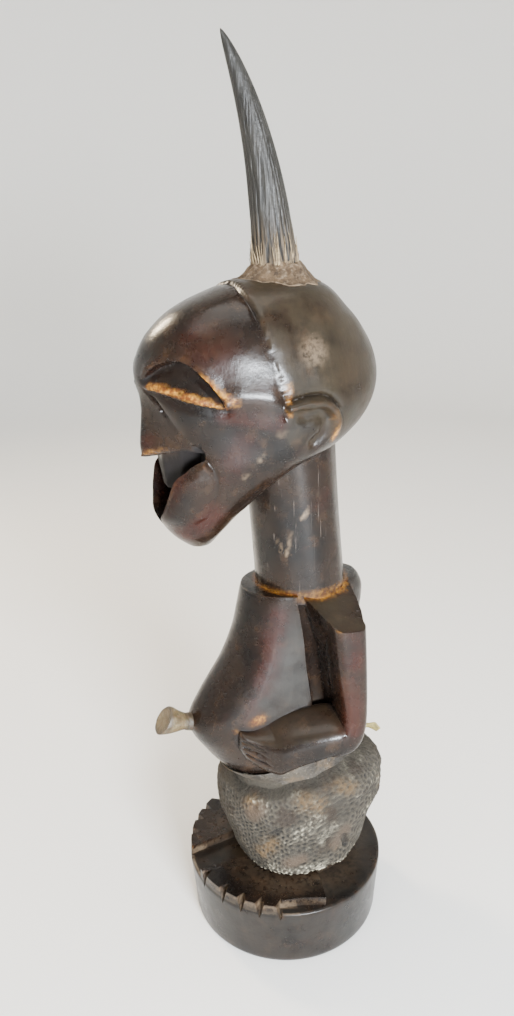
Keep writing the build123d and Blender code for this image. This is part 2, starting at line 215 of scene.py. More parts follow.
# (y, inner x, outer x, low z, high z at the outer edge, high z at the inner edge), elbow to fingertips
FOREARM_RINGS = (
    (28.0, 46.0, 47.0, 160.0, 161.0, 161.0),
    (27.0, 37.0, 58.0, 155.0, 166.0, 176.0),
    (15.0, 32.0, 60.4, 152.3, 170.5, 181.0),
    (2.0, 28.0, 57.0, 148.0, 168.8, 180.0),
    (-10.0, 24.5, 52.4, 143.8, 166.0, 177.5),
    (-18.0, 22.0, 49.2, 139.8, 163.2, 175.0),
    (-22.0, 20.5, 47.2, 137.6, 161.8, 173.5),
    (-25.0, 19.5, 44.6, 137.4, 161.4, 172.2),
    (-32.0, 17.5, 39.0, 140.0, 162.4, 170.0),
    (-38.5, 16.0, 34.2, 145.4, 165.0, 168.6),
    (-42.6, 15.5, 30.6, 151.6, 166.8, 167.4),
    (-43.8, 17.0, 28.0, 156.0, 164.5, 165.0),
    (-44.0, 22.0, 22.2, 160.0, 160.2, 160.2),
)
SHOULDER_FACET = ((28.2, -1.0, 254.0), (56.0, 6.0, 243.2), (54.5, 30.4, 241.4))
SHOULDER_TOP = ((6, -2), (28, -1.6), (45, 1), (54.5, 4), (59.4, 10), (60.6, 18), (59.4, 27), (54, 32), (44, 36.5), (34, 39.5), (17, 42), (6, 42))
SHOULDER_LOW = ((6, 14), (30, 14), (44, 15), (54, 16), (57, 18), (58, 21), (57, 27), (53, 31), (44, 34), (34, 35.5), (17, 38), (6, 38))
NECK_FOOT, NECK_TOP, NECK_RADIUS = (0.0, 14.3, 248.0), (0.0, 4.6, 362.0), 29.8
BASE_RIM, BASE_FOOT, DRUM_TOP, FOOT_TOP = 70.0, 66.5, 44.0, 50.5
NEAR_FOOT = ((8.0, 8.0), (9.0, -37.0), (6.5, -80.0), (66.0, -60.0), (63.5, -33.0), (56.5, -30.5), (60.5, -16.0), (67.0, -1.0), (50.0, 3.5))
FAR_FOOT = ((-19.0, 8.0), (-19.0, -33.0), (-14.5, -80.0), (-66.0, -60.0), (-63.5, -33.0), (-56.5, -30.5), (-60.5, -16.0), (-67.0, -1.0), (-50.0, 3.5))
TOE_NOTCHES = (10.6, 26.9, 39.4, 50.5, 62.3)
CROWN_BORE, BELLY_BORE = 9.0, 6.0
BELLY_FRONT, STOPPER_RISE = Vector((0.0, -68.0, 166.5)), math.radians(17.5)
STOPPER_WAY = Vector((0.0, -math.cos(STOPPER_RISE), math.sin(STOPPER_RISE)))

# Lines that the carver cut or that hands wore, on the figure's left; the right side mirrors them
TEMPLE_RIDGE = ((44.2, -46, 388.5), (46.8, -37.8, 388), (49.9, -22, 385.5))
UPPER_LID = ((8, -87, 397.5), (12.8, -85.8, 401.6), (17.2, -82.8, 405.1), (22.8, -77.8, 407.4), (27.5, -72.8, 407.9), (31.5, -68.6, 405.8), (35.1, -64.3, 401.8), (38, -59.9, 396.7), (40, -55.9, 391.2), (41.4, -52.5, 386.1), (42.2, -50.1, 382.4))
LOWER_LID = ((7.7, -87.2, 391.8), (16.5, -83.5, 391.3), (24.1, -77.7, 389.1), (29.8, -71.5, 386.6), (34.6, -65, 384.9), (38.5, -58.2, 383.3), (42, -51, 382))
NOSE_CREASE = ((7.2, -87.1, 391.5), (11.5, -84, 386), (15.7, -80.5, 380.8), (19, -76.8, 375.2), (21.8, -73, 369), (24.4, -69, 363.2), (27.2, -65.2, 357.5), (29.6, -61.8, 353.0))
NEAR_LIP = ((30.9, -62.6, 353.2), (26.9, -66.6, 348.2), (22.4, -70.5, 342.5), (19.8, -72.4, 338.6), (16.7, -74.5, 331.1), (14.3, -75.8, 325.3), (11, -77.4, 318.3), (4, -78.7, 310.9))
LOBE_EDGE = ((31, -62.6, 353.8), (32.6, -59.1, 350.3), (33.1, -56.3, 345.9), (32.4, -54.7, 339.5), (30.2, -54.6, 331.1), (27.4, -55.7, 323.5), (24.1, -58.3, 315.7), (18, -64, 308))
HAIR_LINE = ((1.7, -31.2, 446.6), (20.2, -32.7, 442.5), (29.7, -31.7, 437.6), (37.5, -30.2, 429.7), (42.9, -27.7, 420.9), (46.2, -25.1, 412.7), (48.5, -22.9, 403.6), (49.7, -20.9, 395.8), (50.1, -19.9, 387.8), (49.9, -18.9, 379.7), (49.4, -18.4, 374.7))
EAR_RIM = ((50.1, -17.8, 381.0), (50.7, -11.9, 382.2), (50.9, -4.9, 382.9), (50.7, 2.4, 382.5), (49.8, 8.0, 380.2), (48.5, 12.2, 376.2), (46.8, 15, 371.0), (44.6, 16, 365), (41.6, 15.6, 359.1))
EAR_GROOVE = ((50.2, -18.4, 384.8), (50.8, -12, 386.0), (51, -5, 387.4), (50.8, 2.3, 387.4), (49.9, 9.4, 384.8), (48.4, 14.6, 379.8), (46.2, 18.2, 372.5), (43, 19.8, 364.3))
EAR_HOLLOW = ((50.2, -8, 376), (50, 3, 376), (49, 8, 371.5), (47.3, 6.5, 363.5), (46.2, 0.5, 359))
FINGER_GROOVES = (
    ((30.5, -43.5, 162.2), (35, -37.5, 160.0), (41.5, -29, 155.5)),
    ((31, -42.5, 157.8), (35.5, -36.5, 154.8), (43, -27, 150.2)),
    ((31.5, -41.5, 152.8), (36, -35.5, 149.6), (43.5, -26, 145.0)),
)


def smooth_rows(rows, share):
    """Values at a share (0 to 1) of the way down a table, on a smooth curve through its rows."""
    table = np.array(rows, dtype=float)
    spot = np.clip(share, 0.0, 1.0) * (len(table) - 1)
    step = np.clip(spot.astype(int), 0, len(table) - 2)
    part = (spot - step)[:, None]
    before, start = table[np.maximum(step - 1, 0)], table[step]
    end, after = table[step + 1], table[np.minimum(step + 2, len(table) - 1)]
    bend_in, bend_out = (end - before) / 2, (after - start) / 2
    return (
        start
        + part * bend_in
        + part**2 * (3 * (end - start) - 2 * bend_in - bend_out)
        + part**3 * (2 * (start - end) + bend_in + bend_out)
    )


def rolled(around, along, place):
    """A grid rolled into a tube and closed at both ends; place gives millimetres for each turn and rise."""
    shell = bmesh.new()
    bmesh.ops.create_grid(shell, x_segments=around, y_segments=along, size=0.5)
    flat = np.array([vert.co[:2] for vert in shell.verts]) + 0.5
    for vert, spot in zip(shell.verts, place(flat[:, 0], flat[:, 1])):
        vert.co = spot * MM
    bmesh.ops.remove_doubles(shell, verts=shell.verts, dist=2e-6)
    bmesh.ops.holes_fill(shell, edges=shell.edges)
    bmesh.ops.recalc_face_normals(shell, faces=shell.faces)
    return shell


def as_piece(name, shell):
    """Scene object made from a bmesh, which is used up."""
    mesh = bpy.data.meshes.new(name)
    shell.to_mesh(mesh)
    shell.free()
    piece = bpy.data.objects.new(name, mesh)
    bpy.context.collection.objects.link(piece)
    return piece


def settle(piece):
    """Applies the modifiers of a piece to its mesh."""
    bpy.context.view_layer.update()
    result = bpy.data.meshes.new_from_object(piece.evaluated_get(bpy.context.evaluated_depsgraph_get()))
    old = piece.data
    piece.modifiers.clear()
    piece.data = result
    bpy.data.meshes.remove(old)


def combine(piece, others, way):
    """Adds other shells to a piece or cuts them from it, and removes them."""
    for other in others:
        cut = piece.modifiers.new(way, "BOOLEAN")
        cut.operation = way
        cut.solver = "MANIFOLD"
        cut.object = other
        settle(piece)
        bpy.data.objects.remove(other)


def near_line(points, line):
    """Distance from each point to a line through the given places, and the share along it of the nearest place."""
    line = np.array(line, dtype=float)
    best = np.full(len(points), 1e9)
    share = np.zeros(len(points))
    for index in range(len(line) - 1):
        start, run = line[index], line[index + 1] - line[index]
        part = np.clip(((points - start) @ run) / (run @ run), 0.0, 1.0)
        gap = np.linalg.norm(points - start - part[:, None] * run, axis=1)
        closer = gap < best
        best[closer] = gap[closer]
        share[closer] = (index + part[closer]) / (len(line) - 1)
    return best, share


def ease(value, start, end):
    """0 before start, 1 after end, and a smooth rise between them."""
    part = np.clip((value - start) / (end - start), 0.0, 1.0)
    return part * part * (3 - 2 * part)


def roughen(points, pitch, depth, seed):
    """Soft random heights, one a point, that change over about the given pitch."""
    shift = Vector((seed * 17.3, seed * 5.1, seed * 9.7))
    return np.array([noise.noise(Vector(point) / pitch + shift) for point in points]) * depth


def egg(rings, turn, rise):
    """Egg-shaped rings whose first point is at the front; denser towards the face."""
    height, half, front, widest, back = smooth_rows(rings, rise).T
    angle = 2 * np.pi * turn - 0.42 * np.sin(2 * np.pi * turn)
    reach = np.where(np.cos(angle) > 0, widest - front, back - widest)
    return np.stack([half * np.sin(angle), widest - reach * np.cos(angle), height], axis=1)


def outward(points, widest=-6.0):
    """Level direction away from the head's upright middle line at each point."""
    way = points - np.array([0.0, widest, 0.0])
    way[:, 0] *= 1.6
    way[:, 2] = 0.0
    return way / np.maximum(np.linalg.norm(way, axis=1), 1e-6)[:, None]


def skull_place(turn, rise):
    """Plain skull, chin to crown."""
    return egg(HEAD_RINGS, turn, rise)


def refined(shell, lines, reach, cuts=2):
    """Divides the mesh finely along the carved lines of both sides."""
    spots = np.array([vert.co for vert in shell.verts]) / MM
    spots[:, 0] = np.abs(spots[:, 0])
    close = np.zeros(len(spots), dtype=bool)
    for line in lines:
        close |= near_line(spots, line)[0] < reach
    marks = dict(zip(shell.verts, close))
    edges = [edge for edge in shell.edges if all(marks[vert] for vert in edge.verts)]
    bmesh.ops.subdivide_edges(shell, edges=edges, cuts=cuts, use_grid_fill=True)
    return shell


def moved(shell, shape):
    """Moves every vertex to where a carving function puts it."""
    spots = np.array([vert.co for vert in shell.verts]) / MM
    for vert, spot in zip(shell.verts, shape(spots)):
        vert.co = spot * MM
    return shell


def face_angle(x, y):
    """Degrees round the skull from the middle of the face."""
    return np.degrees(np.arctan2(x, -(y + 4.0)))


def along_face(line, angle):
    """Height of a line on the face at an angle round the skull."""
    line = np.array(line)
    return np.interp(angle, face_angle(line[:, 0], line[:, 1]), line[:, 2])


def carved_face(points):
    """Cuts brow, sunken almond eyes, wedge nose, mouth lobes, hair line and C-shaped ears into the skull."""
    side = np.abs(points) * (1, 0, 0) + points * (0, 1, 1)
    way = outward(points.copy())
    x, y, z = side.T
    angle = face_angle(x, y)
    # eyes: the brow stops at the upper lid, and the sunken plane slopes out again to the lower lid
    top, low = along_face(UPPER_LID, angle), along_face(LOWER_LID, angle)
    opening = np.maximum(top - low, 0.5)
    inside = ease(angle, 4.0, 9.0) * (1 - ease(angle, 41.5, 45.5)) * (y < 0)
    sink = 6.4 * np.clip(opening / 17.0, 0.12, 1.0) ** 0.8
    across = np.clip((z - low) / opening, 0.0, 1.0)
    depth = sink * (0.10 + 0.90 * ease(across, 0.18, 0.85)) * ease(z, low - 0.2, low + 1.0) * (1 - ease(z, top - 0.7, top + 0.7))
    below = 2.0 * np.exp(-(((low - z) / 5.0) ** 2)) * (z <= low + 0.2)
    lid = 1.1 * np.exp(-(((z - low - 2.0) / 1.9) ** 2))
    brow = 0.9 * np.exp(-(((z - top - 3.0) / 3.6) ** 2)) * (z > top - 0.6)
    points = points - way * ((depth + below * ease(z, low - 9, low) - lid - brow) * inside)[:, None]
    # nose: flat sides run from a narrow ridge down to a deep crease, and end in a cut above the mouth
    crease = np.array(NOSE_CREASE)[::-1]
    crease_x, crease_y = np.interp(z, crease[:, 2], crease[:, 0]), np.interp(z, crease[:, 2], crease[:, 1])
    base_z = 350.8 + 0.36 * x
    ridge_y = np.interp(z, (345, 352, 358, 367, 379, 386, 392), (-87.0, -88.2, -88.8, -88.2, -86.9, -87.2, -88.2))
    part = (np.sqrt(x**2 + 7.0) - math.sqrt(7.0)) / np.maximum(crease_x - 1.6, 1.0)
    wanted = ridge_y + (crease_y - ridge_y) * np.clip(part, 0.0, 1.0)
    on_nose = (x < crease_x + 0.01) & (y < -20)
    blend = np.where(on_nose, (1 - ease(z, 387.0, 393.5)) * ease(z, base_z - 0.5, base_z + 0.7), 0.0)
    points[:, 1] += (wanted - points[:, 1]) * blend
    # beside the nose the cheek rises again out of the crease
    egg_y = y
    drop = np.maximum(crease_y - np.interp(crease_x, (0, 49), (0, 0)) - egg_y, 0.0)
    gap = np.maximum(x - crease_x, 0.0)
    wall = np.where(x >= crease_x, np.exp(-((gap / 6.5) ** 1.5)), 0.0) * (y < -20)
    wall = wall * ease(z, 350.0, 356.0) * (1 - ease(z, 384.0, 392.0))
    points[:, 1] += 2.9 * wall
    # temple: a soft ridge from the eye's corner to the hair line
    points += way * (1.0 * np.exp(-((near_line(side, TEMPLE_RIDGE)[0] / 5.5) ** 2)))[:, None]
    # cheek plane: nearly flat from the crease to the ear
    plane = np.exp(-(((angle - 42) / 16.0) ** 2 + ((z - 366) / 13.0) ** 2)) * (y < 5)
    points -= way * (2.1 * plane)[:, None]
    # under the nose the lip is cut back
    points[:, 1] += np.where((y < -55) & (x < 31) & (z > 340), 3.0 * (1 - ease(z, base_z - 0.5, base_z + 0.7)) * ease(z, 340, 346), 0.0)
    # the side of the mouth swells into a smooth lobe with a soft lip
    lobe, mouth = np.array(LOBE_EDGE)[::-1], np.array(NEAR_LIP)[::-1]
    lobe_x, lip_x = np.interp(z, lobe[:, 2], lobe[:, 0]), np.interp(z, mouth[:, 2], mouth[:, 0])
    share = np.clip((lobe_x - x) / np.maximum(lobe_x - lip_x, 2.0), 0.0, 1.3)
    tall = ease(z, 306, 318) * (1 - ease(z, 348, 353.5))
    swell = 4.3 * np.sin(np.pi * np.clip(share, 0, 1.0) * 0.80) ** 0.7 * tall * (y < -30)
    ring = 0.7 * np.exp(-((near_line(side, LOBE_EDGE)[0] / 2.0) ** 2))
    points += way * (swell - ring)[:, None]
    # hair: a sharp groove, with the cap a little proud behind it
    line, line_share = near_line(side, HAIR_LINE)
    hair = np.array(HAIR_LINE)[::-1]
    behind = ease(y - np.interp(z, hair[:, 2], hair[:, 1]), -0.6, 1.4)
    up = ease(z, 420, 446)[:, None]
    normal = way * (1 - up) + np.array([0, 0, 1.0]) * up
    normal /= np.linalg.norm(normal, axis=1)[:, None]
    cut = 1.9 * np.exp(-((line / 1.0) ** 2)) - 1.1 * behind * np.exp(-((line / 12.0) ** 2))
    points -= normal * (cut * ease(z, 371.0, 376.0))[:, None]
    # ears
    rim, rim_share = near_line(side, EAR_RIM)
    groove, groove_share = near_line(side, EAR_GROOVE)
    hollow = near_line(side, EAR_HOLLOW)[0]
    wide = np.interp(rim_share, (0, 0.3, 0.6, 1.0), (1.9, 2.1, 3.0, 2.6))
    swell = 2.8 * np.exp(-((rim / wide) ** 4)) * (1 - ease(rim_share, 0.78, 1.0))
    swell -= 2.3 * np.exp(-((groove / 1.15) ** 2)) * (1 - ease(groove_share, 0.72, 1.0))
    swell -= 2.8 * np.exp(-((hollow / 3.9) ** 4))
    points += way * (swell * (x > 35))[:, None]
    # worn round dimple above the ear, and a few flats left by the knife
    mark = np.linalg.norm(side - np.array([48.0, 0.0, 411.0]), axis=1)
    points -= way * (0.5 * np.exp(-((mark / 8.5) ** 4)))[:, None]
    points += way * roughen(points, 15.0, 0.55, 3)[:, None]
    return points


def trunk_place(turn, rise):
    """Trunk with a pointed belly, a flat plane down each side and a sharp edge behind that plane."""
    height, front, facet_x, facet_y, side_x, side_y, back = smooth_rows(TRUNK_RINGS, rise).T
    half = np.where(turn < 0.5, turn, 1 - turn) * 2
    sign = np.where(turn < 0.5, 1.0, -1.0)
    bow = math.radians(64.0)
    angle = np.clip(half / 0.44, 0.0, 1.0) * bow
    fore_x = facet_x * np.sin(angle) / math.sin(bow)
    fore_y = facet_y + (front - facet_y) * (np.cos(angle) - math.cos(bow)) / (1 - math.cos(bow))
    part = np.clip((half - 0.44) / 0.2, 0.0, 1.0)
    side_part_x, side_part_y = facet_x + (side_x - facet_x) * part, facet_y + (side_y - facet_y) * part
    rear = np.clip((half - 0.64) / 0.36, 0.0, 1.0)
    recess = np.interp(height, (118.0, 150.0, 240.0, 255.0), (0.0, 5.0, 6.0, 3.0))
    start = np.clip(rear / 0.12, 0.0, 1.0)
    sweep = np.clip((rear - 0.12) / 0.88, 0.0, 1.0) * np.pi / 2
    rear_x = np.where(rear < 0.12, side_x - recess * start, (side_x - recess) * np.cos(sweep))
    rear_y = np.where(rear < 0.12, side_y + 1.5 * start, side_y + 1.5 + (back - side_y - 1.5) * np.sin(sweep))
    x = np.where(half < 0.44, fore_x, np.where(half < 0.64, side_part_x, rear_x))
    y = np.where(half < 0.44, fore_y, np.where(half < 0.64, side_part_y, rear_y))
    return np.stack([x * sign, y, height], axis=1)


def boxy(first, second, turn, power):
    """Rounded-rectangle pair of values (-1 to 1 each) for a turn, squarer as the power grows."""
    angle = 2 * np.pi * turn
    cosine, sine = np.cos(angle), np.sin(angle)
    return np.sign(cosine) * np.abs(cosine) ** (2 / power) * first, np.sign(sine) * np.abs(sine) ** (2 / power) * second


def hip_place(turn, rise):
    """Heavy hips and legs, which the hide covers."""
    height, half, front, back = smooth_rows(HIP_RINGS, rise).T
    x, y = boxy(half, (back - front) / 2, turn, 2.6)
    return np.stack([x, y + (front + back) / 2, height], axis=1)


def arm_place(turn, rise):
    """Upper arm: a squared column."""
    height, inner, outer, front, back = smooth_rows(ARM_RINGS, rise).T
    x, y = boxy((outer - inner) / 2, (back - front) / 2, turn, 3.6)
    x += (inner + outer) / 2
    y += (front + back) / 2
    return np.stack([x, y, height], axis=1)


def forearm_place(turn, rise):
    """Forearm and hand: tall outer face, top that slopes down from the belly, and four cut fingers."""
    y, inner, outer, low, high_out, high_in = smooth_rows(FOREARM_RINGS, rise).T
    x, z = boxy((outer - inner) / 2, 1.0, turn, 3.4)
    high = high_in + (high_out - high_in) * (x / np.maximum(outer - inner, 1e-6) + 0.5)
    z = (low + high) / 2 + z * (high - low) / 2
    return np.stack([x + (inner + outer) / 2, y, z], axis=1)


def fingered(points):
    """Grooves between the fingers, cut in from the tips."""
    for groove in FINGER_GROOVES:
        gap, share = near_line(points, groove)
        cut = 1.7 * np.exp(-((gap / 0.8) ** 2)) * (1 - ease(share, 0.65, 1.0))
        points = points - np.array([0.75, -0.4, 0.0]) * cut[:, None]
    return points


def neck_place(turn, rise):
    """Tall neck, slightly narrower at the middle, with the flats of the adze left on it."""
    foot, top = np.array(NECK_FOOT), np.array(NECK_TOP)
    angle = 2 * np.pi * turn
    radius = NECK_RADIUS - 0.9 * np.sin(np.pi * rise) + 0.28 * np.sin(9 * angle + 2.5 * rise)
    radius = np.where((rise < 0.001) | (rise > 0.999), 0.0, radius)
    level = np.clip(rise * 1.04 - 0.02, 0.0, 1.0)[:, None]
    ring = np.stack([radius * np.sin(angle), -radius * np.cos(angle), 0 * angle], axis=1)
    return foot + (top - foot) * level + ring


def drum_place(turn, rise):
    """Round base that widens a little upwards, hand-cut, so its wall isn't quite true."""
    profile = ((0, 0), (34, 0), (62, 0), (66, 0.4), (66.8, 2), (67.6, 14), (68.6, 26), (69.5, 38), (69.9, 42.6), (69.2, 43.9), (66, 44), (48, 44), (24, 44), (0, 44))
    spot = rise * (len(profile) - 1)
    radius = np.interp(spot, range(len(profile)), [p[0] for p in profile])
    height = np.interp(spot, range(len(profile)), [p[1] for p in profile])
    angle = 2 * np.pi * turn
    return np.stack([radius * np.sin(angle), -radius * np.cos(angle), height], axis=1)


def slab(outline, low, high):
    """Flat slab with the given outline, cut across into small cells."""
    shape = bmesh.new()
    corners = [shape.verts.new((x * MM, y * MM, low * MM)) for x, y in outline]
    face = shape.faces.new(corners)
    raised = bmesh.ops.extrude_face_region(shape, geom=[face])
    bmesh.ops.translate(
        shape, verts=[v for v in raised["geom"] if isinstance(v, bmesh.types.BMVert)], vec=(0, 0, (high - low) * MM)
    )
    for axis, count in (((1, 0, 0), 30), ((0, 1, 0), 34)):
        for index in range(-count, count):
            everything = shape.verts[:] + shape.edges[:] + shape.faces[:]
            bmesh.ops.bisect_plane(shape, geom=everything, plane_co=Vector(axis) * index * 2.5 * MM, plane_no=axis)
    bmesh.ops.recalc_face_normals(shape, faces=shape.faces)
    return shape


def wedge_block(corners, low, high):
    """Plain block with an outline in plan."""
    shape = bmesh.new()
    face = shape.faces.new([shape.verts.new((x * MM, y * MM, low * MM)) for x, y in corners])
    raised = bmesh.ops.extrude_face_region(shape, geom=[face])
    bmesh.ops.translate(
        shape, verts=[v for v in raised["geom"] if isinstance(v, bmesh.types.BMVert)], vec=(0, 0, (high - low) * MM)
    )
    bmesh.ops.recalc_face_normals(shape, faces=shape.faces)
    return shape


def drill(radius, start, way, length):
    """Round cutter that runs from a place along a direction."""
    shape = bmesh.new()
    bmesh.ops.create_cone(shape, cap_ends=True, segments=48, radius1=radius * MM, radius2=radius * MM, depth=length * MM)
    turn = Vector((0, 0, 1)).rotation_difference(Vector(way)).to_matrix().to_4x4()
    place = Matrix.Translation((Vector(start) + Vector(way) * length / 2) * MM)
    bmesh.ops.transform(shape, matrix=place @ turn, verts=shape.verts)
    return shape


def toe_cutter(angle):
    """Chisel cut: a V that starts on the foot and runs down over the rim."""
    shape = bmesh.new()
    bottom_in, bottom_out = (0, -61.5, 51.0), (0, -73.0, 33.5)
    spots = [bottom_in, bottom_out]
    for x in (-5.2, 5.2):
        spots += [(x, -61.0, 63.0), (x, -73.0, 50.5)]
    verts = [shape.verts.new(Vector(spot) * MM) for spot in spots]
    for corners in ((0, 1, 3, 2), (0, 4, 5, 1), (2, 3, 5, 4), (0, 2, 4), (1, 5, 3)):
        shape.faces.new([verts[i] for i in corners])
    bmesh.ops.recalc_face_normals(shape, faces=shape.faces)
    bmesh.ops.rotate(shape, verts=shape.verts, cent=(0, 0, 0), matrix=Matrix.Rotation(math.radians(angle), 3, "Z"))
    return shape


def mirrored(shape):
    """Copy of a shell on the figure's other side."""
    twin = shape.copy()
    bmesh.ops.scale(twin, vec=(-1, 1, 1), verts=twin.verts)
    bmesh.ops.reverse_faces(twin, faces=twin.faces)
    return twin


def mouth_cutter():
    """Opening under the nose: roof-shaped at the top, narrow at the chin, shallower at the corners."""
    lip = [(x, z) for x, y, z in NEAR_LIP]
    half = [(0.0, 350.8), (12.0, 354.4), (23.0, 357.6), (29.5, 356.0)] + lip + [(0.0, 308.6)]
    outline = half + [(-x, z) for x, z in reversed(half[1:-1])]
    shape = bmesh.new()
    face = shape.faces.new([shape.verts.new(Vector((x, -100.0, z)) * MM) for x, z in outline])
    deep = bmesh.ops.extrude_face_region(shape, geom=[face])
    for vert in [v for v in deep["geom"] if isinstance(v, bmesh.types.BMVert)]:
        x, z = vert.co.x / MM, vert.co.z / MM
        vert.co.y = (-56.0 - 0.08 * abs(x) + 0.32 * max(0.0, 335.0 - z)) * MM
    bmesh.ops.recalc_face_normals(shape, faces=shape.faces)
    return shape


def tooth_block():
    """Block left standing under the nose, inside the open mouth."""
    shape = bmesh.new()
    top = [(-12.0, -77.5), (5.0, -78.5), (17.0, -70.0), (17.0, -52.0), (-14.0, -52.0)]
    face = shape.faces.new([shape.verts.new(Vector((x, y, 358.0)) * MM) for x, y in top])
    low = bmesh.ops.extrude_face_region(shape, geom=[face])
    for vert in [v for v in low["geom"] if isinstance(v, bmesh.types.BMVert)]:
        vert.co = Vector((vert.co.x * 0.62, vert.co.y + (0.0035 if vert.co.y < -0.06 else 0.0), 331.0 * MM))
    bmesh.ops.bevel(shape, geom=shape.edges[:], offset=0.0014, segments=3, profile=0.5, affect="EDGES", material=-1)
    bmesh.ops.recalc_face_normals(shape, faces=shape.faces)
    return shape


def shoulder_shape():
    """Block between the neck's foot and the upper arm, whose front falls back under the sloping facet."""
    shape = bmesh.new()
    face = shape.faces.new([shape.verts.new(Vector((x, y, 268.0)) * MM) for x, y in SHOULDER_TOP])
    low = bmesh.ops.extrude_face_region(shape, geom=[face])
    lowered = [v for v in low["geom"] if isinstance(v, bmesh.types.BMVert)]
    for vert in lowered:
        nearest = min(range(len(SHOULDER_TOP)), key=lambda i: (Vector(SHOULDER_TOP[i]) * MM - vert.co.xy).length)
        vert.co = Vector((*SHOULDER_LOW[nearest], 216.0)) * MM
    under = [f for f in shape.faces if all(abs(v.co.z - 216.0 * MM) < 1e-5 for v in f.verts)]
    lower = bmesh.ops.extrude_face_region(shape, geom=under)
    bmesh.ops.delete(shape, geom=under, context="FACES_ONLY")
    for vert in [v for v in lower["geom"] if isinstance(v, bmesh.types.BMVert)]:
        vert.co = Vector((vert.co.x, max(vert.co.y, 19.0 * MM), 172.0 * MM))
    upright = [e for e in shape.edges if abs(e.verts[0].co.z - e.verts[1].co.z) > 0.02]
    bmesh.ops.subdivide_edges(shape, edges=upright, cuts=10, use_grid_fill=True)
    bmesh.ops.recalc_face_normals(shape, faces=shape.faces)
    return shape


def slope_top(shape):
    """Cuts everything above the shoulder facet away and closes the cut."""
    first, second, third = (Vector(p) * MM for p in SHOULDER_FACET)
    up = (second - first).cross(third - first).normalized()
    if up.z < 0:
        up = -up
    everything = shape.verts[:] + shape.edges[:] + shape.faces[:]
    cut = bmesh.ops.bisect_plane(shape, geom=everything, plane_co=first, plane_no=up, clear_outer=True)
    rim = [e for e in cut["geom_cut"] if isinstance(e, bmesh.types.BMEdge)]
    bmesh.ops.holes_fill(shape, edges=rim)
    bmesh.ops.recalc_face_normals(shape, faces=shape.faces)
    return shape


figure = as_piece("carved_figure_wood", rolled(288, 22, drum_place))


def rim_place(turn, rise):
    """Plain disc that trims the feet to the base's rim."""
    radius = np.interp(rise, (0, 0.1, 0.9, 1), (0, 69.6, 69.2, 0))
    angle = 2 * np.pi * turn
    height = np.interp(rise, (0, 0.1, 0.9, 1), (38, 38, FOOT_TOP, FOOT_TOP))
    return np.stack([radius * np.sin(angle), -radius * np.cos(angle), height], axis=1)


feet = as_piece("feet", slab(NEAR_FOOT, 40.0, 60.0))
combine(feet, [as_piece("far_foot", slab(FAR_FOOT, 40.0, 60.0))], "UNION")
combine(feet, [as_piece("rim", rolled(288, 10, rim_place))], "INTERSECT")
combine(figure, [feet], "UNION")
combine(figure, [as_piece("notch", toe_cutter(way * angle)) for angle in TOE_NOTCHES for way in (1, -1)], "DIFFERENCE")
combine(figure, [as_piece("hips", rolled(64, 14, hip_place))], "UNION")
combine(figure, [as_piece("trunk", rolled(132, 100, trunk_place))], "UNION")
limbs = [
    slope_top(rolled(64, 60, arm_place)),
    moved(refined(rolled(72, 64, forearm_place), FINGER_GROOVES, 3.0), fingered),
    slope_top(shoulder_shape()),
    wedge_block(((20.0, 19.0), (42.0, 19.0), (42.0, 30.0), (20.0, 31.0)), 149.0, 234.0),
]
for limb in limbs:
    combine(figure, [as_piece("limb_right", mirrored(limb)), as_piece("limb_left", limb)], "UNION")
combine(figure, [as_piece("neck", rolled(96, 44, neck_place))], "UNION")
CARVED_LINES = (UPPER_LID, LOWER_LID, NOSE_CREASE, LOBE_EDGE, HAIR_LINE, EAR_RIM, EAR_GROOVE, EAR_HOLLOW)
head_shell = moved(refined(rolled(166, 114, skull_place), CARVED_LINES, 2.8), carved_face)
NOSE_WING = Vector((27.5, -66.0, 355.5)) * MM
worked = [v for v in head_shell.verts if (Vector((abs(v.co.x), v.co.y, v.co.z)) - NOSE_WING).length < 5.0 * MM]
for step in range(6):
    bmesh.ops.smooth_vert(head_shell, verts=worked, factor=0.5, use_axis_x=True, use_axis_y=True, use_axis_z=True)
# the knife followed the hair line twice, which evened its groove
head_spots = np.array([vert.co for vert in head_shell.verts]) / MM
head_spots[:, 0] = np.abs(head_spots[:, 0])
along_hair = near_line(head_spots, HAIR_LINE)[0] < 2.6
worked = [vert for vert, close in zip(head_shell.verts, along_hair) if close]
for step in range(2):
    bmesh.ops.smooth_vert(head_shell, verts=worked, factor=0.5, use_axis_x=True, use_axis_y=True, use_axis_z=True)
skull = as_piece("skull", head_shell)
combine(skull, [as_piece("mouth", mouth_cutter())], "DIFFERENCE")
combine(skull, [as_piece("tooth_block", tooth_block())], "UNION")
combine(figure, [skull], "UNION")
combine(figure, [as_piece("crown_bore", drill(CROWN_BORE, (0, 0, 402.0), (0, 0, 1), 60.0))], "DIFFERENCE")
bore_start = BELLY_FRONT - STOPPER_WAY * 46.0
combine(figure, [as_piece("belly_bore", drill(BELLY_BORE, bore_start, STOPPER_WAY, 60.0))], "DIFFERENCE")

shell = bmesh.new()
shell.from_mesh(figure.data)
bmesh.ops.triangulate(shell, faces=shell.faces)
for step in range(6):
    long_edges = [edge for edge in shell.edges if edge.calc_length() > 5.6 * MM]
    bmesh.ops.subdivide_edges(shell, edges=long_edges, cuts=1)
    bmesh.ops.triangulate(shell, faces=[face for face in shell.faces if len(face.verts) > 3])
shell.to_mesh(figure.data)
shell.free()
figure.data.materials.clear()
for polygon in figure.data.polygons:
    polygon.use_smooth = True
figure.data.set_sharp_from_angle(angle=math.radians(58))
